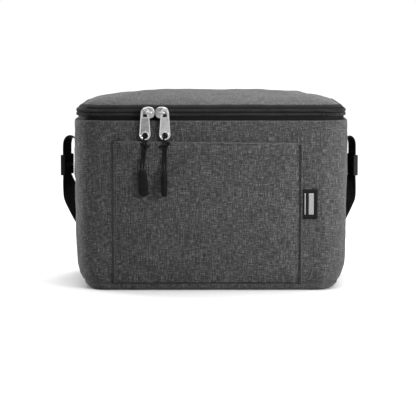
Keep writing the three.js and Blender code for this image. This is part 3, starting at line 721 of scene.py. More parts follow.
def ribbon(name, rows, line=None):
    """A closed solid through rows of points, each a closed section. Its UVs run along it and round it."""
    count = len(rows[0])
    points = [point for row in rows for point in row]
    around = lengths_along(rows[0] + rows[0][:1])
    travelled = lengths_along(line or [row[0] for row in rows])
    faces = ring_faces(len(rows), count) + end_faces(len(rows), count)
    uvs = []
    for u0, u1 in zip(travelled, travelled[1:]):
        for v0, v1 in zip(around, around[1:]):
            uvs += [(u0, v0), (u0, v1), (u1, v1), (u1, v0)]
    uvs += [(0.0, 0.0)] * (2 * count)
    piece = piece_from(name, points, faces, uvs)
    agree(piece)
    return piece


def carried(ways, start):
    """Widthwise directions carried along a curve without turning about it."""
    across = start.normalized()
    result = []
    before = ways[0]
    for way in ways:
        across = before.rotation_difference(way) @ across
        across = (across - way * across.dot(way)).normalized()
        result.append(across.copy())
        before = way
    return result


def round_section(radius, sides):
    return arc(radius, 0, 2 * math.pi, sides)[:-1]


def tube(name, places, radius, sides=10, start=None):
    """A round cord along close points; start is the direction from which its sides are counted."""
    places = [Vector(p) for p in places]
    ways = []
    for i in range(len(places)):
        ways.append((places[min(i + 1, len(places) - 1)] - places[max(i - 1, 0)]).normalized())
    start = start or (Vector((0, 0, 1)) if abs(ways[0].z) < 0.9 else Vector((1, 0, 0)))
    start = start - ways[0] * start.dot(ways[0])
    return ribbon(name, swept_rows(places, ways, carried(ways, start), round_section(radius, sides)), places)


def grid_sheet(name, columns, rows, place):
    """A sheet whose points are place(column value, row value), with those values in metres as its UVs."""
    points = [place(c, r) for r in rows for c in columns]
    across = len(columns)
    faces, uvs = [], []
    for j in range(len(rows) - 1):
        for i in range(across - 1):
            faces.append((j * across + i, j * across + i + 1, (j + 1) * across + i + 1, (j + 1) * across + i))
            c0, c1, r0, r1 = columns[i], columns[i + 1], rows[j], rows[j + 1]
            uvs += [(c0, r0), (c1, r0), (c1, r1), (c0, r1)]
    piece = piece_from(name, points, faces, uvs)
    face_out(piece)
    return piece


def sharpen(piece, degrees):
    """Smooth shading that keeps edges steeper than this sharp."""
    piece.data.set_sharp_from_angle(angle=math.radians(degrees))


def stitch_row(name, line, outs, body, slot, material, pitch=3 * MM):
    """Sewing stitches along a line of points, each with the direction out of the cloth there."""
    sides, share, radius, look_ahead = 6, 0.76, 0.27 * MM, 0.2 * MM
    stations = [0.0, 0.12, 0.5, 0.88, 1.0]
    line = [Vector(p) for p in line]
    travelled = lengths_along(line)
    points, faces = [], []
    for n in range(int(travelled[-1] / pitch)):
        first = n * pitch + (1 - share) * pitch / 2
        base = len(points)
        for part in stations:
            distance = first + part * share * pitch
            place, out = at_distance(line, outs, travelled, distance)
            ahead, _ = at_distance(line, outs, travelled, min(distance + look_ahead, travelled[-1]))
            way = (ahead - place).normalized() if (ahead - place).length > 1e-7 else Vector((1, 0, 0))
            across = way.cross(out).normalized()
            sunk = part in (0.0, 1.0)
            lift = (-0.25 if sunk else 0.1 + 0.25 * math.sin(math.pi * part)) * MM
            section = round_section(radius * (0.45 if sunk else 1.0), sides)
            points += [place + out * (lift + b) + across * a for a, b in section]
        faces += ring_faces(len(stations), sides, base) + end_faces(len(stations), sides, base)
    piece = piece_from(name, points, faces)
    agree(piece)
    return finish_piece(piece, material, body, slot)


def wall_level(z):
    """Inset and bow of the wall at a height, in metres."""
    heights = [level[0] * MM for level in WALL_LEVELS]
    return tuple(np.interp(z, heights, [level[k] * MM for level in WALL_LEVELS]) for k in (1, 2))


def front_reach(x, z):
    """How far the wall's outer face is from the bag's middle plane, at a place on the front."""
    inset, bow = wall_level(z)
    t = x / (HALF_WIDTH - CORNER_RADIUS)
    return HALF_DEPTH - inset + bow / 3 * (1 - t * t)


def side_reach(y, z):
    """The same at a place on a side."""
    inset, bow = wall_level(z)
    t = y / (HALF_DEPTH - CORNER_RADIUS)
    return HALF_WIDTH - inset + bow * (1 - t * t)


def spread_values(low, high, step, fine=()):
    """Evenly spaced values with extra ones near the ends, at the given distances from them."""
    count = max(1, round((high - low) / step))
    near = max(fine, default=0) + step / 2
    even = np.round(np.linspace(low, high, count + 1), 7).tolist()
    values = {even[0], even[-1], *(v for v in even if low + near < v < high - near)}
    for distance in fine:
        values |= {round(low + distance, 7), round(high - distance, 7)}
    return sorted(values)


# ---------------------------------------------------------------- shoulder strap
STRAP_WIDTH = 25 * MM
STRAP_THICKNESS = 1.2 * MM
STRAP_FLOOR = 12.8  # middle of the webbing where it stands on its edge on the ground, in mm
STRAP_ROUTE = [
    (-139.9, 0, 143.4), (-140.4, 0, 146.8), (-142.4, 0, 149.3), (-145.3, 0, 149.7), (-147.9, 0, 147.9),
    (-149.2, 0, 144.4), (-149.6, 0, 140), (-149.6, 0, 129), (-149.6, 0, 118), (-149.6, 0, 109.5),
    (-149.5, 2.5, 102), (-149.2, 9.5, 96), (-148.5, 20, 91), (-147.5, 32, 85.8), (-146.2, 44.5, 80),
    (-144.4, 57, 73.2), (-141.5, 69.5, 65), (-136.5, 81, 56), (-127.5, 90.5, 46.5), (-113, 98, 36.5),
    (-96, 101, 27.5), (-78, 101, 19.5), (-59, 101, 14.5), (-38, 101, STRAP_FLOOR), (0, 101, STRAP_FLOOR),
    (45, 101, STRAP_FLOOR), (95, 101, STRAP_FLOOR), (107, 104, STRAP_FLOOR),
    (112, 111.5, STRAP_FLOOR), (107, 119, STRAP_FLOOR), (95, 122, STRAP_FLOOR), (45, 122, STRAP_FLOOR),
    (0, 122, STRAP_FLOOR), (-45, 122, STRAP_FLOOR), (-95, 122, STRAP_FLOOR), (-107, 125, STRAP_FLOOR),
    (-112, 132.5, STRAP_FLOOR), (-107, 140, STRAP_FLOOR), (-95, 143, STRAP_FLOOR), (-45, 143, STRAP_FLOOR),
    (0, 143, STRAP_FLOOR), (30, 143, STRAP_FLOOR), (58, 141.5, 15.5),
    (84, 136, 22.5), (106, 125.5, 32), (123, 111, 43), (134, 94.5, 53.5), (140, 78, 63.5),
    (143, 62.5, 72.5), (144.9, 48, 80.3), (146.2, 35, 86.8), (147, 22, 92.2), (147.2, 10.5, 97),
    (147.1, 2.6, 102.6), (147, 0, 109.5), (147, 0, 119), (147, 0, 130), (147, 0, 140), (146.7, 0, 144.2),
    (145.6, 0, 147.8), (143.5, 0, 149.6), (141.2, 0, 148.7), (140.1, 0, 146.2), (139.9, 0, 143.4),
]
STRAP_SAMPLES = 8
# Points of the route at which the webbing's width has a given direction.
STRAP_STATIONS = [(9, (0, 1, 0)), (23, (0, 0, 1)), (41, (0, 0, 1)), (54, (0, 1, 0))]
# The webbing also turns a little by the slides: over these points from each end, and by these degrees.
TWIST_IN = (0, 5)
TWIST_OUT = (11, 17)
SLIDE_TWIST = {"left": 15, "right": 12}


def strap_frames():
    """Places, directions and widthwise directions along the strap's middle line."""
    places, ways = catmull_rom([Vector(p) * MM for p in STRAP_ROUTE], STRAP_SAMPLES)
    acrosses = carried(ways, Vector((0, 1, 0)))
    turns = []
    for at, target in STRAP_STATIONS:
        way, across = ways[at * STRAP_SAMPLES], acrosses[at * STRAP_SAMPLES]
        turns.append(math.atan2(way.cross(across).dot(Vector(target)), across.dot(Vector(target))))
    last = len(STRAP_ROUTE) - 1
    for i, way in enumerate(ways):
        at = i / STRAP_SAMPLES
        shared = np.interp(at, [station[0] for station in STRAP_STATIONS], turns)
        from_end = min(at, last - at)
        twist = smoothstep(from_end, *TWIST_IN) * (1 - smoothstep(from_end, *TWIST_OUT))
        side = "left" if at < last / 2 else "right"
        turn = shared + twist * math.radians(SLIDE_TWIST[side])
        acrosses[i] = Quaternion(way, turn) @ acrosses[i]
    return places, ways, acrosses


def webbing_section():
    """Flat, with rounded selvedges."""
    half, edge, selvedge = STRAP_WIDTH / 2, 0.5 * MM, 0.2 * MM
    top = [(a, STRAP_THICKNESS / 2) for a in np.linspace(half - edge, edge - half, 13)]
    section = [(half, -selvedge), (half, selvedge), *top, (-half, selvedge), (-half, -selvedge)]
    return section + [(a, -b) for a, b in reversed(top)]


def make_strap():
    places, ways, acrosses = strap_frames()
    rows = swept_rows(places, ways, acrosses, webbing_section())
    strap = ribbon("shoulder_strap_webbing", rows, places)
    finish_piece(strap, WEBBING, "bag", "black_webbing", "shoulder_strap")
    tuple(places[0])


ANCHOR_HEIGHTS = (108 * MM, 143 * MM)
ANCHOR_FINE = (0.6 * MM, 1.5 * MM)  # the grid's extra lines near its edges
BOX_STITCH_INSET = 3 * MM


def make_anchor(name, side):
    """The strap's end, folded under and sewn to the side with a box stitch."""
    half = STRAP_WIDTH / 2
    low, high = ANCHOR_HEIGHTS
    columns = spread_values(-half, half, 2.5 * MM, ANCHOR_FINE)
    rows = spread_values(low, high, 2.5 * MM, ANCHOR_FINE)

    def place(y, z):
        edge = min(y + half, half - y, z - low, high - z)
        sag = 0.35 * MM * (1 - smoothstep(edge, 0, 1.5 * MM))
        sewn = 0.2 * MM * (1 - smoothstep(abs(edge - 2.5 * MM), 0, 1.2 * MM))
        return (side * (side_reach(y, z) + GAP + 1.8 * MM - sag - sewn), y, z)

    anchor = grid_sheet(f"strap_end_{name}", columns, rows, place)
    subdivide(anchor)
    thicken(anchor, 1.5 * MM)
    finish_piece(anchor, WEBBING_UPRIGHT, "bag", "black_webbing", f"strap_anchor_{name}")
    y1, z0, z1 = half - BOX_STITCH_INSET, low + BOX_STITCH_INSET, high - BOX_STITCH_INSET
    corners = [(-y1, z0), (y1, z0), (y1, z1), (-y1, z1), (-y1, z0), (y1, z1), (y1, z0), (-y1, z1)]
    line = []
    for (ya, za), (yb, zb) in zip(corners, corners[1:]):
        steps = max(2, round(math.hypot(yb - ya, zb - za) / (2 * MM)))
        line += [(ya + (yb - ya) * k / steps, za + (zb - za) * k / steps) for k in range(steps)]
    places = [Vector((side * (side_reach(y, z) + GAP + 1.75 * MM), y, z)) for y, z in line]
    outs = [(side, 0, 0)] * len(places)
    stitch_row(f"box_stitch_{name}", places, outs, "bag", "black_webbing", GREY_THREAD, pitch=2.4 * MM)


def dress_slide(name):
    """The slide keeps its CAD shape, with rounded edges and a moulded finish."""
    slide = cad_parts[f"strap_slide_{name}"]
    soften = slide.modifiers.new("rounded", "BEVEL")
    soften.width = 0.55 * MM
    soften.segments = 3
    soften.limit_method = "ANGLE"
    slide.data.materials.clear()
    slide.data.materials.append(PLASTIC)


make_strap()
for side_name, side in (("left", -1), ("right", 1)):
    make_anchor(side_name, side)
    dress_slide(side_name)


# ---------------------------------------------------------------- walls
POCKET_LEFT, POCKET_RIGHT = -97.5 * MM, 91 * MM
POCKET_TOP = {"left": 149.5 * MM, "right": 147.4 * MM}
POCKET_LOW = 8.1 * MM
POCKET_ROOM = 3.9 * MM


def covered(point):
    """1 where something lies on the wall, which has to stay in place there, and 0 where it is free."""
    x, y, z = point
    margin = 6 * MM
    wrap = 12 * MM
    if y < -HALF_DEPTH + wrap:
        return 1 - smoothstep(abs(x) - HALF_WIDTH + CORNER_RADIUS, -1.5 * MM, margin - 1.5 * MM)
    if abs(x) > HALF_WIDTH - wrap:
        low, high = ANCHOR_HEIGHTS
        out = max(abs(y) - STRAP_WIDTH / 2 - 0.5 * MM, low - 1 * MM - z, z - high - 1 * MM)
        return 1 - smoothstep(out, 0, margin)
    return 0.0


TUCKS = [(0, 9), (5.7, 4.8), (11.7, 2.6), (17, 1.5), (25, 0)]  # height and amount, in mm
TUCK_START, TUCK_FULL = 80 * MM, 130 * MM


def tuck_ends(piece):
    """Draws the bag's two ends in towards its base, where the sides are rounder than the front."""
    points = points_of(piece)
    heights, amounts = np.array(TUCKS).T * MM
    across = points[:, 0]
    share = np.clip((np.abs(across) - TUCK_START) / (TUCK_FULL - TUCK_START), 0, 1) ** 2
    points[:, 0] -= np.sign(across) * np.interp(points[:, 2], heights, amounts) * share
    set_points(piece, points)


def point_in(piece):
    """Turns a ring of cloth's outer side up and towards the middle of the bag."""
    ways = [(p.normal, p.center) for p in piece.data.polygons]
    votes = sum(1 if way.z > 5 * way.xy.dot(place.xy) else -1 for way, place in ways)
    if votes < 0:
        piece.data.flip_normals()


def make_wall():
    wall, low, high = shell("bag_wall", side=WALL_LEVELS)
    limits = np.array([(0.6 - 0.4 * covered(p)) * MM for p in points_of(wall)])
    simulate(wall, low + high, pressure=2.0, out_limit=limits, in_limit=0.5 * MM, spare=0.008)
    subdivide(wall)

    def free(point):
        ends = smoothstep(min(point[2] - WALL_BOTTOM, RIM_HEIGHT - point[2]), 0, 12 * MM)
        return ends * (1 - 0.8 * covered(point))

    def near_seam(point):
        return (1 - smoothstep(point[2] - WALL_BOTTOM, 2 * MM, 22 * MM)) * (1 - 0.7 * covered(point))

    ripple(wall, 0.9 * MM, 34 * MM, seed=3.1, fade=free)
    ripple(wall, 0.35 * MM, 11 * MM, seed=8.4, fade=free)
    ripple(wall, 0.7 * MM, 7 * MM, seed=1.3, fade=near_seam)
    tuck_ends(wall)
    thicken(wall, FABRIC)
    finish_piece(wall, HEATHER, "bag", "heather_fabric", "outer_wall")
    pad, _, _ = shell("wall_foam_pad", side=deeper(WALL_LEVELS, 2.1))
    tuck_ends(pad)
    thicken(pad, 3.9 * MM)
    finish_piece(pad, FOAM_LOOK, "bag", "foam", "wall_foam")
    over = [
        (171.2, 1.2, 0), (171.55, 2.4, 0), (171.6, 6.6, 0), (170.9, 7.9, 0), (169.4, 8.4, 0), (160, 8.6, 0.6),
    ]
    binding, _, _ = shell("rim_binding_tape", side=over, spacing=1.5 * MM)
    point_in(binding)
    thicken(binding, 0.7 * MM)
    finish_piece(binding, TAPE, "bag", "black_tape", "rim_binding")
    ring = ring_at(162.5 * MM, 8.6 * MM, 0.4 * MM)
    inward = [Vector((-p.x, -p.y * HALF_WIDTH / HALF_DEPTH, 0)).normalized() for p in ring]
    stitch_row("rim_binding_stitches", ring, inward, "bag", "black_tape", GREY_THREAD)


def make_base():
    side, cap = BASE_LEVELS[:4], BASE_LEVELS[3:]
    base, _, _ = shell("bag_base", side=side, cap=cap, spacing=1.6 * MM)
    subdivide(base)

    def edge(point):
        return smoothstep(point[2], 0.8 * MM, 3 * MM)

    ripple(base, 0.5 * MM, 13 * MM, seed=5.2, fade=edge)
    tuck_ends(base)
    thicken(base, FABRIC)
    finish_piece(base, HEATHER, "bag", "heather_fabric", "bottom_panel")
    pad, _, _ = shell("base_foam_pad", cap=[(3.2, 14, 0), (2.4, 24, 0), (1.7, 36, 0), (1.7, 85, 0)])
    tuck_ends(pad)
    thicken(pad, 2.8 * MM)
    finish_piece(pad, FOAM_LOOK, "bag", "foam", "bottom_foam")
    # A black tube in the gap between the wall and the base: painted shade for the dark line under the wall's
    # overhang at the bottom seam.
    seam_shade_path = ring_at(7.3 * MM, 5.9 * MM)
    rows = []
    for i, place in enumerate(seam_shade_path + seam_shade_path[:1]):
        out = Vector((place.x, place.y * HALF_WIDTH / HALF_DEPTH, 0)).normalized()
        rows.append([place + out * a + Vector((0, 0, b)) for a, b in round_section(0.95 * MM, 8)])
    seam_shade = ribbon("bottom_seam_painted_shade", rows)
    tuck_ends(seam_shade)
    finish_piece(seam_shade, SHADE_THREAD, "bag", "black_tape")


def make_liner():
    side = deeper([(170.7, 0, 0), *WALL_LEVELS[6:1:-1]], 6.9)
    side += [(12, 12, 0.3), (7.2, 15.5, 0), (6.6, 20, 0)]
    liner, _, _ = shell("cabin_lining", side=side, cap=[(6.6, 20, 0), (6.6, 85, 0)], spacing=3 * MM)
    subdivide(liner)

    def inside(point):
        return smoothstep(165 * MM - point[2], 0, 8 * MM)

    ripple(liner, 0.45 * MM, 21 * MM, seed=2.7, fade=inside)
    ripple(liner, 0.3 * MM, 6 * MM, seed=9.9, fade=inside)
    tuck_ends(liner)
    thicken(liner, 0.4 * MM)
    finish_piece(liner, FOIL_LOOK, "bag", "foil", "inner_liner")


def pocket_place(x, z):
    """The pocket's front face; z is as if its mouth were level."""
    u = (x - POCKET_LEFT) / (POCKET_RIGHT - POCKET_LEFT)
    top = POCKET_TOP["left"] + (POCKET_TOP["right"] - POCKET_TOP["left"]) * u
    up = (z - POCKET_LOW) / (POCKET_TOP["right"] - POCKET_LOW)
    height = POCKET_LOW + (top - POCKET_LOW) * up
    swell = (1 - abs(2 * u - 1) ** 4) * (1 - (1 - up) ** 3)
    room = GAP + 0.3 * MM + (POCKET_ROOM - GAP) * swell
    from_left, from_right = x - POCKET_LEFT, POCKET_RIGHT - x
    groove = 1.2 * MM * (1 - smoothstep(abs(from_right - 4.6 * MM), 1.2 * MM, 3.2 * MM))
    groove += 0.2 * MM * (1 - smoothstep(abs(from_left - 3 * MM), 0, 1.3 * MM))
    fold = 1.0 * MM * (1 - smoothstep(from_right, 0.8 * MM, 2.4 * MM))
    hem = 0.45 * MM * smoothstep(height, top - 11 * MM, top - 9.5 * MM)
    return Vector((x, -(front_reach(x, height) + room + FABRIC - groove + fold + hem), height))


def make_pocket():
    top = POCKET_TOP["right"]
    fine = [v * MM for v in (0.5, 1.2, 2.0, 2.8, 3.6, 4.4, 5.2, 6.5)]
    columns = spread_values(POCKET_LEFT, POCKET_RIGHT, 3.5 * MM, fine)
    rows = spread_values(POCKET_LOW, top, 3.5 * MM, [v * MM for v in (0.5, 1.2, 2.5, 4)])
    rows = sorted(rows + [top - v * MM for v in (9, 9.8, 10.6, 11.4)])
    pocket = grid_sheet("front_pocket_panel", columns, rows, pocket_place)
    across = len(columns)
    sewn_columns, sewn_rows = 7, 3
    pinned = [
        i for i in range(across * len(rows))
        if i < sewn_rows * across or not sewn_columns <= i % across < across - sewn_columns
    ]
    simulate(pocket, pinned, pressure=1.2, out_limit=1.3 * MM, in_limit=1.0 * MM, spare=0.01)

    def free(point):
        sides = min(point[0] - POCKET_LEFT, POCKET_RIGHT - point[0], (point[2] - POCKET_LOW) * 1.5)
        return smoothstep(sides, 4 * MM, 26 * MM)

    def seams(point):
        sides = min(point[0] - POCKET_LEFT, POCKET_RIGHT - point[0])
        return smoothstep(sides, 1 * MM, 4 * MM) * (1 - smoothstep(sides, 5 * MM, 14 * MM))

    ripple(pocket, 1.1 * MM, 30 * MM, seed=6.6, fade=free)
    ripple(pocket, 0.3 * MM, 6 * MM, seed=4.1, fade=seams)
    thicken(pocket, FABRIC)
    finish_piece(pocket, HEATHER, "bag", "heather_fabric", "front_pocket")

    hem = [pocket_place(x, top) for x in np.linspace(POCKET_LEFT, POCKET_RIGHT, 81)]
    sides = {"left": POCKET_LEFT, "right": POCKET_RIGHT}
    heights = np.linspace(POCKET_LOW, top, 41)
    rolls_and_shade_lines = [("pocket_hem_roll", [p + Vector((0, 0.4 * MM, 0)) for p in hem], 0.95 * MM, 10, HEATHER)]
    # A black tube behind the hem, in the pocket's mouth: painted shade for the dark gap above the hem.
    behind = [p + Vector((0, FABRIC + 0.9 * MM, 0.9 * MM)) for p in hem[2:-2]]
    rolls_and_shade_lines.append(("pocket_mouth_painted_shade", behind, 0.75 * MM, 8, SHADE_THREAD))
    # A black tube along the pocket's left edge, on the wall: painted shadow that the edge casts to its left.
    line = [Vector((POCKET_LEFT - 0.9 * MM, -front_reach(POCKET_LEFT, z) - 0.1 * MM, z)) for z in heights]
    rolls_and_shade_lines.append(("pocket_left_painted_shadow", line, 0.8 * MM, 8, SHADE_THREAD))
    for name, inward in (("left", 0.6 * MM), ("right", -0.6 * MM)):
        line = [pocket_place(sides[name] + inward, z) + Vector((0, 0.5 * MM, 0)) for z in heights]
        rolls_and_shade_lines.append((f"pocket_edge_{name}", line, 0.9 * MM, 10, HEATHER))
    for name, line, radius, count, material in rolls_and_shade_lines:
        finish_piece(tube(name, line, radius, sides=count), material, "bag", "heather_fabric")
    for name, inward in (("left", 3 * MM), ("right", -4.6 * MM)):
        line = [pocket_place(sides[name] + inward, z) for z in np.linspace(POCKET_LOW, top, 61)]
        outs = [(0, -1, 0)] * len(line)
        stitch_row(f"pocket_stitches_{name}", line, outs, "bag", "heather_fabric", GREY_THREAD)


LABEL_SIDES = (90.2 * MM, 106.5 * MM)
LABEL_HEIGHTS = (73 * MM, 102.5 * MM)
LABEL_BARS = {"label_bar_wide": (97.6 * MM, 102.6 * MM), "label_bar_thin": (93.4 * MM, 94.6 * MM)}
BAR_HEIGHTS = (77 * MM, 98.5 * MM)


def make_label():
    """A woven label with two plain bars. It curls a little at its free edge."""
    def place(x, z, lift=0.0):
        curl = 0.5 * MM * smoothstep(x, 98 * MM, LABEL_SIDES[1]) ** 2
        return (x, -(front_reach(x, z) + GAP + 1.0 * MM + curl + lift), z)

    rows = spread_values(*LABEL_HEIGHTS, 1.5 * MM)
    label = grid_sheet("side_label", spread_values(*LABEL_SIDES, 1.2 * MM), rows, place)
    thicken(label, 0.7 * MM)
    finish_piece(label, LABEL_CLOTH, "bag", "black_label", "pocket_label")
    rows = spread_values(*BAR_HEIGHTS, 1.5 * MM)
    for name, sides in LABEL_BARS.items():
        bar = grid_sheet(name, spread_values(*sides, 0.8 * MM), rows, lambda x, z: place(x, z, 0.12 * MM))
        thicken(bar, 0.2 * MM)
        finish_piece(bar, PALE_THREAD, "bag", "black_label")


make_wall()
make_base()
make_liner()
make_pocket()
make_label()


# ---------------------------------------------------------------- lid
def lid_weight(point):
    """How free a point of the lid is: held at its sewn edge, free in the middle."""
    x, y, _ = point
    inset = min(HALF_WIDTH - abs(x), HALF_DEPTH - abs(y))
    return smoothstep(inset, 8 * MM, 24 * MM)


def crease(piece):
    """The soft fold that runs from the lid's back edge down to its front right corner."""
    start, end = Vector((96 * MM, 62 * MM, 0)), Vector((116 * MM, -66 * MM, 0))
    run = end - start
    points = points_of(piece)
    for i, point in enumerate(points):
        flat = Vector((point[0], point[1], 0)) - start
        t = min(max(flat.dot(run) / run.length_squared, 0), 1)
        side = run.normalized().cross(flat).z
        beyond = (flat - run * t).length
        ends = smoothstep(t, 0.0, 0.2) * (1 - smoothstep(t, 0.85, 1.0))
        valley = math.exp(-(beyond / (5 * MM)) ** 2)
        ridge = math.exp(-((side + 9 * MM) / (7 * MM)) ** 2)
        points[i][2] += ends * (-1.1 * valley + 0.6 * ridge) * MM * lid_weight(point)
    set_points(piece, points)


def make_lid():
    lid, edge, _ = shell("lid_fabric", cap=LID_LEVELS)
    simulate(lid, edge, pressure=2.5, out_limit=0.8 * MM, in_limit=0.8 * MM, spare=0.012)
    subdivide(lid)
    ripple(lid, 1.1 * MM, 46 * MM, seed=7.3, fade=lid_weight)
    ripple(lid, 0.7 * MM, 17 * MM, seed=2.2, fade=lid_weight)
    crease(lid)
    thicken(lid, FABRIC)
    finish_piece(lid, HEATHER, "lid", "heather_fabric", "lid_top")

    foam_levels = [(z - 2.6, inset, 0) for z, inset, _ in LID_LEVELS if inset >= 39]
    pad, edge, _ = shell("lid_foam_pad", cap=[(187.9, 18, 0), *foam_levels])
    close_below(pad, edge, 187.3 * MM)
    finish_piece(pad, FOAM_LOOK, "lid", "foam", "lid_foam")

    liner, _, _ = shell("lid_lining", cap=[(186.9, 14, 0), (186.9, 85, 0)])
    subdivide(liner)

    def inner(point):
        return smoothstep(min(HALF_WIDTH - abs(point[0]), HALF_DEPTH - abs(point[1])), 18 * MM, 26 * MM)

    ripple(liner, 0.28 * MM, 18 * MM, seed=3.9, fade=inner)
    thicken(liner, 0.5 * MM)
    finish_piece(liner, FOIL_LOOK, "lid", "foil", "lid_liner")

    binding, _, _ = shell("lid_binding_tape", side=[(185.2, 8.7, 0), (185.2, 18, 0)], spacing=1.8 * MM)
    if binding.data.polygons[0].normal.z < 0:
        binding.data.flip_normals()
    thicken(binding, 0.8 * MM)
    finish_piece(binding, TAPE, "lid", "black_tape", "lid_binding")
    ring = ring_at(184.35 * MM, 11 * MM)
    stitch_row("lid_binding_stitches", ring, [(0, 0, -1)] * len(ring), "lid", "black_tape", GREY_THREAD)


def close_below(piece, edge, floor):
    """Closes a domed sheet with a copy of itself pressed flat on to a level below it."""
    mesh = bmesh.new()
    mesh.from_mesh(piece.data)
    mesh.verts.ensure_lookup_table()
    mesh.faces.ensure_lookup_table()
    rim = set(edge)
    under = {v.index: mesh.verts.new((v.co.x, v.co.y, floor)) for v in list(mesh.verts)}
    for face in list(mesh.faces):
        mesh.faces.new([under[v.index] for v in reversed(face.verts)])
    for line in [e for e in mesh.edges if e.is_boundary and all(v.index in rim for v in e.verts)]:
        a, b = line.verts
        mesh.faces.new([a, b, under[b.index], under[a.index]])
    bmesh.ops.recalc_face_normals(mesh, faces=mesh.faces)
    mesh.to_mesh(piece.data)
    mesh.free()
    smooth_all(piece.data)


make_lid()


# ---------------------------------------------------------------- zip
ZIP_LINE = 178.95 * MM
CHAIN_LOW, CHAIN_HIGH = ZIP_LINE - GAP / 2, ZIP_LINE + GAP / 2  # where the chain's two halves meet
TAPE_DEPTH = 3.6 * MM  # inside the rim's outline
TAPE_THICK = 0.8 * MM
COIL_DEPTH = 2.35 * MM  # to the middle of the coil
COIL_HEIGHT = 3.6 * MM
COIL_PITCH = 1.9 * MM
BAND_END = 104 * MM  # half the length of the back between the zip's two ends


def band_line(spacing=3 * MM):
    """Points round the rim from one back corner past the front to the other, each with the way out there."""
    centre_x, centre_y = HALF_WIDTH - CORNER_RADIUS, HALF_DEPTH - CORNER_RADIUS
    anchors = [(Vector((-BAND_END, HALF_DEPTH, 0)), Vector((0, 1, 0)))]
    steps = round(CORNER_RADIUS * math.pi / 2 / spacing)
    for corner, (x, y) in enumerate([(-1, 1), (-1, -1), (1, -1), (1, 1)]):
        for step in range(steps + 1):
            angle = (corner + 1 + step / steps) * math.pi / 2
            out = Vector((math.cos(angle), math.sin(angle), 0))
            anchors.append((Vector((x * centre_x, y * centre_y, 0)) + out * CORNER_RADIUS, out))
    anchors.append((Vector((BAND_END, HALF_DEPTH, 0)), Vector((0, 1, 0))))
    line = [anchors[0]]
    for (a, out_a), (b, out_b) in zip(anchors, anchors[1:]):
        parts = max(1, round((b - a).length / spacing))
        for k in range(1, parts + 1):
            line.append((a.lerp(b, k / parts), out_a.lerp(out_b, k / parts).normalized()))
    return line


def upright_section():
    """The lower tape's section, outer face first, as (inset, height), with a bead under the coil."""
    low, inner = RIM_HEIGHT + GAP, TAPE_DEPTH + TAPE_THICK
    return [
        (TAPE_DEPTH, low), (TAPE_DEPTH, 174 * MM), (TAPE_DEPTH, CHAIN_LOW),
        (TAPE_DEPTH + 0.5 * MM, CHAIN_LOW), (TAPE_DEPTH + 0.6 * MM, CHAIN_LOW + 0.8 * MM),
        (inner + 0.4 * MM, CHAIN_LOW + 0.8 * MM), (inner, 174 * MM), (inner, low),
    ]


def leaning_section():
    """The upper tape's section: upright behind the coil, then leaning in to the lid."""
    shoulder = [(TAPE_DEPTH, z) for z in (CHAIN_HIGH, 181 * MM, 183.2 * MM)]
    shoulder += [(3.9 * MM, 184.1 * MM), (4.9 * MM, 185 * MM), (6.4 * MM, 185.9 * MM), (8.2 * MM, 186.7 * MM)]
    inner = [(inset + TAPE_THICK * 0.8, z - TAPE_THICK * 0.5) for inset, z in shoulder]
    inner[0] = (TAPE_DEPTH + TAPE_THICK, CHAIN_HIGH)
    return shoulder + inner[::-1]


def make_tape(name, section, body, node, slack):
    """A tape round the zip. Its free parts wave a little, more where the lid is slack."""
    rows = []
    for place, out in band_line():
        row = []
        for inset, z in section:
            loose = smoothstep(z, 183 * MM, 185 * MM) if slack else 0.4
            wave = noise.noise(place / (14 * MM) + Vector((slack, 0, z / (30 * MM))))
            bulge = 0.45 * MM * loose * wave
            lift = bulge if slack else 0.0
            row.append(place + out * (bulge - inset) + Vector((0, 0, z + lift)))
        rows.append(row)
    tape = ribbon(name, rows)
    sharpen(tape, 60)
    finish_piece(tape, TAPE_BAND, body, "black_tape", node)


def make_coil(name, low, body, node, phase):
    """A nylon coil: one long spiral whose loops are the zip's teeth."""
    line, outs = zip(*band_line(1 * MM))
    travelled = lengths_along(line)
    per_loop, wire = 10, 0.34 * MM
    reach_in, reach_up = 0.62 * MM, COIL_HEIGHT / 2 - 0.36 * MM
    places = []
    for i in range(int(travelled[-1] / COIL_PITCH) * per_loop + 1):
        place, out = at_distance(line, outs, travelled, i / per_loop * COIL_PITCH)
        angle = 2 * math.pi * i / per_loop + phase
        inset = COIL_DEPTH - reach_in * math.cos(angle)
        height = low + COIL_HEIGHT / 2 + reach_up * math.sin(angle)
        places.append(place - out * inset + Vector((0, 0, height)))
    coil = tube(name, places, wire, sides=5, start=Vector((0, 0, 1)))
    finish_piece(coil, NYLON, body, "black_coil", node)


make_tape("zip_tape_bottom", upright_section(), "bag", "zip_tape_lower", 0)
make_tape("zip_tape_top", leaning_section(), "lid", "zip_tape_upper", 5.5)
make_coil("zip_teeth_bottom", CHAIN_LOW - COIL_HEIGHT, "bag", "zip_coil_lower", 0.0)
make_coil("zip_teeth_top", CHAIN_HIGH, "lid", "zip_coil_upper", math.pi)


def make_hinge():
    """The strip at the back that joins the lid to the wall."""
    path = [(TAPE_DEPTH, z) for z in np.linspace(RIM_HEIGHT + GAP, 183.2 * MM, 13)]
    path += [(3.9 * MM, 184.1 * MM), (4.8 * MM, 184.9 * MM), (6.9 * MM, 185.5 * MM)]
    columns = spread_values(-BAND_END + 0.6 * MM, BAND_END - 0.6 * MM, 4 * MM)

    def place(x, k):
        inset, z = path[round(k / MM)]
        return (x, HALF_DEPTH - inset, z)

    strip = grid_sheet("hinge_tape", columns, [k * MM for k in range(len(path))], place)
    if sum(p.normal.y for p in strip.data.polygons) < 0:
        strip.data.flip_normals()
    thicken(strip, 0.7 * MM)
    strip.data.materials.clear()
    strip.data.materials.append(TAPE_BAND)
    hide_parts("hinge_strip")
    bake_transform(strip)


make_hinge()


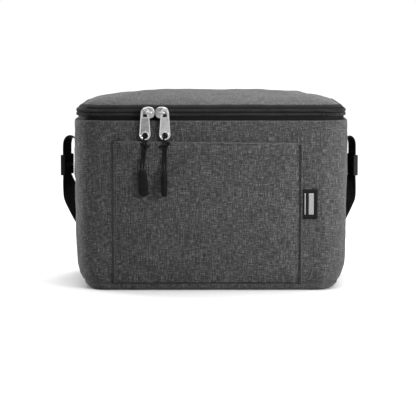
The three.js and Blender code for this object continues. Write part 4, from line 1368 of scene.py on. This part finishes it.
# ---------------------------------------------------------------- sliders and pullers
SLIDER_X = {"left": -62.7 * MM, "right": -48.9 * MM}
PEG_OFFSET = 3 * MM
PEG_X = {"left": SLIDER_X["left"] - PEG_OFFSET, "right": SLIDER_X["right"] + PEG_OFFSET}
SLIDER_LENGTH = 13.4 * MM
SLIDER_HEIGHT = 11.6 * MM
SLIDER_BACK = HALF_DEPTH - 1 * MM
SLIDER_FRONT = HALF_DEPTH + 2.5 * MM
PULLER_Y = -(SLIDER_FRONT + 1.2 * MM)
PULLER_BOTTOM = 152 * MM


def joined(name, pieces):
    """One object made of several, keeping their materials."""
    bpy.ops.object.select_all(action="DESELECT")
    for piece in pieces:
        piece.select_set(True)
    bpy.context.view_layer.objects.active = pieces[0]
    bpy.ops.object.join()
    pieces[0].name = name
    return pieces[0]


def domed_plate(name, half_x, half_z, back, front, crown, rim):
    """A rounded plate in the XZ plane: upright sides, a rounded shoulder and a low dome to the front."""
    sides = 48
    profile = [
        (0.0, back), (0.9, back), (1.0, back - rim * 0.4), (1.0, front + rim), (0.985, front + 0.45 * rim),
        (0.94, front + 0.1 * rim), (0.86, front), (0.7, front - 0.45 * crown), (0.45, front - 0.8 * crown),
        (0.2, front - 0.97 * crown), (0.0, front - crown),
    ]
    outline = squarish(half_x, half_z, 1 / 1.3, sides)
    points = [(x * share, y, z * share) for share, y in profile[1:-1] for x, z in outline]
    rings = len(profile) - 2
    faces = ring_faces(rings, sides)
    for k, (_, y) in ((0, profile[0]), (rings - 1, profile[-1])):
        points.append((0, y, 0))
        for i in range(sides):
            faces.append((k * sides + i, k * sides + (i + 1) % sides, len(points) - 1))
    piece = piece_from(name, points, faces)
    agree(piece)
    return piece


NO_CROWN = 0.0001 * MM
# The bridge's middle line from its left foot: (x from the slider's middle, depth from the bag's), in mm.
BRIDGE_ARCH = [
    (-3, 86.6), (-3, 88), (-3, 89.3), (-2.7, 90.1), (-1.8, 90.6), (0, 90.8), (2.2, 90.75), (3.7, 90.3),
    (4.4, 89.4), (4.5, 88), (4.5, 86.6),
]


def make_slider(name):
    """A slider with its bridge and a lip below, and a dark plate of painted shade behind the puller's window.
    The right one mirrors the left one.
    """
    half_long, half_high = SLIDER_LENGTH / 2, SLIDER_HEIGHT / 2
    back, crown = -SLIDER_BACK, 0.5 * MM
    body = domed_plate("slider_body", half_long, half_high, back, crown - SLIDER_FRONT, crown, 0.9 * MM)
    places, ways = catmull_rom([Vector((x * MM, -y * MM, 0)) for x, y in BRIDGE_ARCH], 4)
    section = squarish(1.15 * MM, 0.62 * MM, 0.7, 14)
    upright = [Vector((0, 0, 1))] * len(places)
    bridge = ribbon("slider_bridge", swept_rows(places, ways, upright, section), places)
    lip_back, lip_front = 3.4 * MM - HALF_DEPTH, back - 0.5 * MM
    lip = domed_plate("slider_lip", half_long - 2 * MM, 0.45 * MM, lip_back, lip_front, NO_CROWN, 0.2 * MM)
    lip.data.transform(Matrix.Translation((-0.3 * MM, 0, 0.75 * MM - half_high)))
    slider = joined(f"slider_{name}_body", [body, bridge, lip])
    # A dark plate just proud of the slider's front, behind the puller's window: painted shade for the dark
    # inside of the window.
    sunk, proud = back - 2 * MM, -SLIDER_FRONT - 0.1 * MM
    painted_window_shade = domed_plate(f"slider_{name}_recess", 2.0 * MM, 1.9 * MM, sunk, proud, 0.05 * MM, 0.15 * MM)
    painted_window_shade.data.transform(Matrix.Translation((-PEG_OFFSET, 0, -3.1 * MM)))
    for part in (slider, painted_window_shade):
        if name == "right":
            part.data.transform(Matrix.Scale(-1, 4, (1, 0, 0)))
            part.data.flip_normals()
        part.data.transform(Matrix.Translation((SLIDER_X[name], 0, ZIP_LINE)))
    finish_piece(painted_window_shade, WINDOW_SHADE_LOOK, f"slider_{name}", "plated_zinc")
    sharpen(slider, 50)
    finish_piece(slider, ZINC_BODY, f"slider_{name}", "plated_zinc", f"zip_slider_{name}")


def puller_outline(shrink=0.0):
    """The tab's outline as (x, z) from the peg, moved inwards by shrink."""
    top, end = 4.1 * MM, 5.6 * MM
    upper = arc(top - shrink, 0, math.pi, 26, up=0.6 * MM)
    return upper + arc(end - shrink, math.pi, math.pi, 26, up=PULLER_BOTTOM + end - ZIP_LINE)


def window_outline(grow=0.0):
    """The window that the bridge goes through."""
    side, low = 2.2 * MM + grow, -4.4 * MM - grow
    return arc(2 * MM + grow, 0, math.pi, 12) + [(-side, low), (side, low)]


def hole_outline(grow=0.0):
    """The hole that the cord goes through."""
    return arc(3.1 * MM + grow, 0, 2 * math.pi, 32, up=PULLER_BOTTOM + 4.3 * MM - ZIP_LINE)[:-1]


def flat_solid(name, outlines, half, bevel):
    """A plate in the XZ plane with eased edges. The first outline is its edge, and the others are holes."""
    curve = bpy.data.curves.new(name, "CURVE")
    curve.dimensions = "2D"
    curve.fill_mode = "BOTH"
    curve.extrude = half - bevel
    curve.bevel_depth = bevel
    curve.bevel_resolution = 2
    curve.offset = -bevel
    for outline in outlines:
        spline = curve.splines.new("POLY")
        spline.points.add(len(outline) - 1)
        for point, (x, z) in zip(spline.points, outline):
            point.co = (x, z, 0, 1)
        spline.use_cyclic_u = True
    holder = bpy.data.objects.new(name, curve)
    bpy.context.scene.collection.objects.link(holder)
    mesh = bpy.data.meshes.new_from_object(holder.evaluated_get(bpy.context.evaluated_depsgraph_get()))
    bpy.data.objects.remove(holder)
    mesh.transform(Matrix.Rotation(math.pi / 2, 4, "X"))
    piece = bpy.data.objects.new(name, mesh)
    bpy.context.scene.collection.objects.link(piece)
    agree(piece, merge=1e-7)
    smooth_all(piece.data)
    return piece


def make_puller(name):
    """A tab with a raised rim all round, and one round its hole and its window."""
    clear = 0.05 * MM
    outlines = [puller_outline(0.4 * MM), window_outline(clear), hole_outline(clear)]
    field = flat_solid("puller_field", outlines, 0.55 * MM, 0.05 * MM)
    field.data.materials.append(ZINC_FIELDS_SHADED_AND_LIT[name])
    rims = [
        flat_solid("puller_rim", [puller_outline(), puller_outline(1.15 * MM)], 0.9 * MM, 0.22 * MM),
        flat_solid("puller_eye", [hole_outline(0.95 * MM), hole_outline()], 0.85 * MM, 0.2 * MM),
        flat_solid("puller_window", [window_outline(0.75 * MM), window_outline()], 0.82 * MM, 0.2 * MM),
    ]
    for rim in rims:
        rim.data.materials.append(ZINC)
    puller = joined(f"puller_{name}_tab", [field, *rims])
    puller.data.transform(Matrix.Translation((PEG_X[name], PULLER_Y, ZIP_LINE)))
    sharpen(puller, 40)
    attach(puller, f"tab_{name}")
    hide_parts(f"puller_{name}")


# ---------------------------------------------------------------- cords and grips
CORD_SIZE = 1.8 * MM
CORD_SPREAD = 1.25  # half the distance between a cord's two runs, in mm
GRIP_TOP = 123.3 * MM
# Each grip's x from its peg and its y, in mm, its tilt and turn in degrees, and its cord's knot.
HANGS = {
    "left": {"x": -2.8, "y": -93.9, "tilt": -4, "turn": 0, "knot": (4.2, 2.7, 2.6), "knot_turn": 0.3},
    "right": {"x": -0.5, "y": -96.2, "tilt": 0, "turn": 90, "knot": (6.0, 2.9, 2.8), "knot_turn": -0.45},
}


def cord_route(grip):
    """The doubled cord from the rim's middle, in mm: up the front, round the rim and down again."""
    turn, front = 2.25, -3.6
    x, y, z = grip
    return [
        (x - CORD_SPREAD, y, z), (x * 0.6 - CORD_SPREAD, front, z * 0.6), (-CORD_SPREAD, front, -5),
        (-CORD_SPREAD, front + 0.5, -1.5), (-0.9, -1.9, 1.6), (-0.2, 0, turn), (0.5, 1.6, 1.6),
        (0.9, turn, 0), (1.1, 1.6, -1.6),
        (CORD_SPREAD, -0.3, -turn), (CORD_SPREAD, -2.5, -3), (CORD_SPREAD, front, -6),
        (x * 0.6 + CORD_SPREAD, front, z * 0.6), (x + CORD_SPREAD, y, z),
    ]


def make_hanging(name):
    facts = HANGS[name]
    rim = Vector((PEG_X[name], PULLER_Y, PULLER_BOTTOM + 0.6 * MM))
    grip_at = (facts["x"], facts["y"] - PULLER_Y / MM, (GRIP_TOP + GAP - rim.z) / MM)
    places, _ = catmull_rom([rim + Vector(p) * MM for p in cord_route(grip_at)], 6)
    cord = tube(f"pull_{name}_cord", places, CORD_SIZE / 2)
    finish_piece(cord, CORD, f"pull_{name}", "black_cord", f"pull_cord_{name}")

    wide, tall, deep = facts["knot"]
    spin = Matrix.Rotation(facts["knot_turn"], 3, "Y")
    middle = rim + Vector((facts["x"] * 0.1, -3.5, -6.6)) * MM
    knot_line = []
    for k in range(73):
        t = 2 * math.pi * k / 72
        across = wide * (math.sin(t) + 2 * math.sin(2 * t)) / 3
        up = tall * (math.cos(t) - 2 * math.cos(2 * t)) / 3
        knot_line.append(middle + spin @ Vector((across, -0.55 * deep * math.sin(3 * t), up)) * MM)
    knot = tube(f"pull_{name}_knot", knot_line, CORD_SIZE / 2)
    finish_piece(knot, CORD, f"pull_{name}", "black_cord")

    grip = make_grip(name, facts)
    length = round(lengths_along(places)[-1], 4)


GRIP_LENGTH, GRIP_HALF_WIDE, GRIP_HALF_DEEP = 27.0, 5.0, 3.0  # in mm
# Distance down the grip in mm, and the shares of its width and its depth there.
GRIP_SHAPE = [
    (0, 0.40, 0.44), (0.5, 0.5, 0.55), (1.5, 0.66, 0.72), (4, 0.84, 0.95), (8, 0.92, 1.0), (14, 0.97, 1.0),
    (21.5, 1.0, 1.0), (24.5, 0.92, 0.93), (26, 0.76, 0.8), (26.8, 0.5, 0.55), (27, 0.2, 0.22),
]
GRIP_RIBS = (6, 22.5)
RIB_PITCH, RIB_DEPTH = 2.2, 0.24


def make_grip(name, facts):
    """A moulded grip: flat and rounded, ribbed across its middle, and narrow where the cord goes in."""
    rings, sides = 96, 40
    downs, widths, depths = zip(*GRIP_SHAPE)
    rows = []
    for k in range(rings + 1):
        down = GRIP_LENGTH * k / rings
        cut = 0.0
        if GRIP_RIBS[0] < down < GRIP_RIBS[1]:
            cut = RIB_DEPTH * (0.5 - 0.5 * math.sin(2 * math.pi * down / RIB_PITCH))
        half_wide = GRIP_HALF_WIDE * np.interp(down, downs, widths) - cut * 0.6
        half_deep = GRIP_HALF_DEEP * np.interp(down, downs, depths) - cut
        rows.append([Vector((x, y, -down)) * MM for x, y in squarish(half_wide, half_deep, 0.62, sides)])
    grip = ribbon(f"pull_{name}_grip", rows)
    place = Matrix.Translation((PEG_X[name] + facts["x"] * MM, facts["y"] * MM, GRIP_TOP - 0.2 * MM))
    tilt = Matrix.Rotation(math.radians(facts["tilt"]), 4, "Y")
    grip.data.transform(place @ tilt @ Matrix.Rotation(math.radians(facts["turn"]), 4, "Z"))
    return finish_piece(grip, GRIP_PLASTIC, f"pull_{name}", "black_plastic", f"pull_grip_{name}")


for side_name in ("left", "right"):
    make_slider(side_name)
    make_puller(side_name)
    make_hanging(side_name)
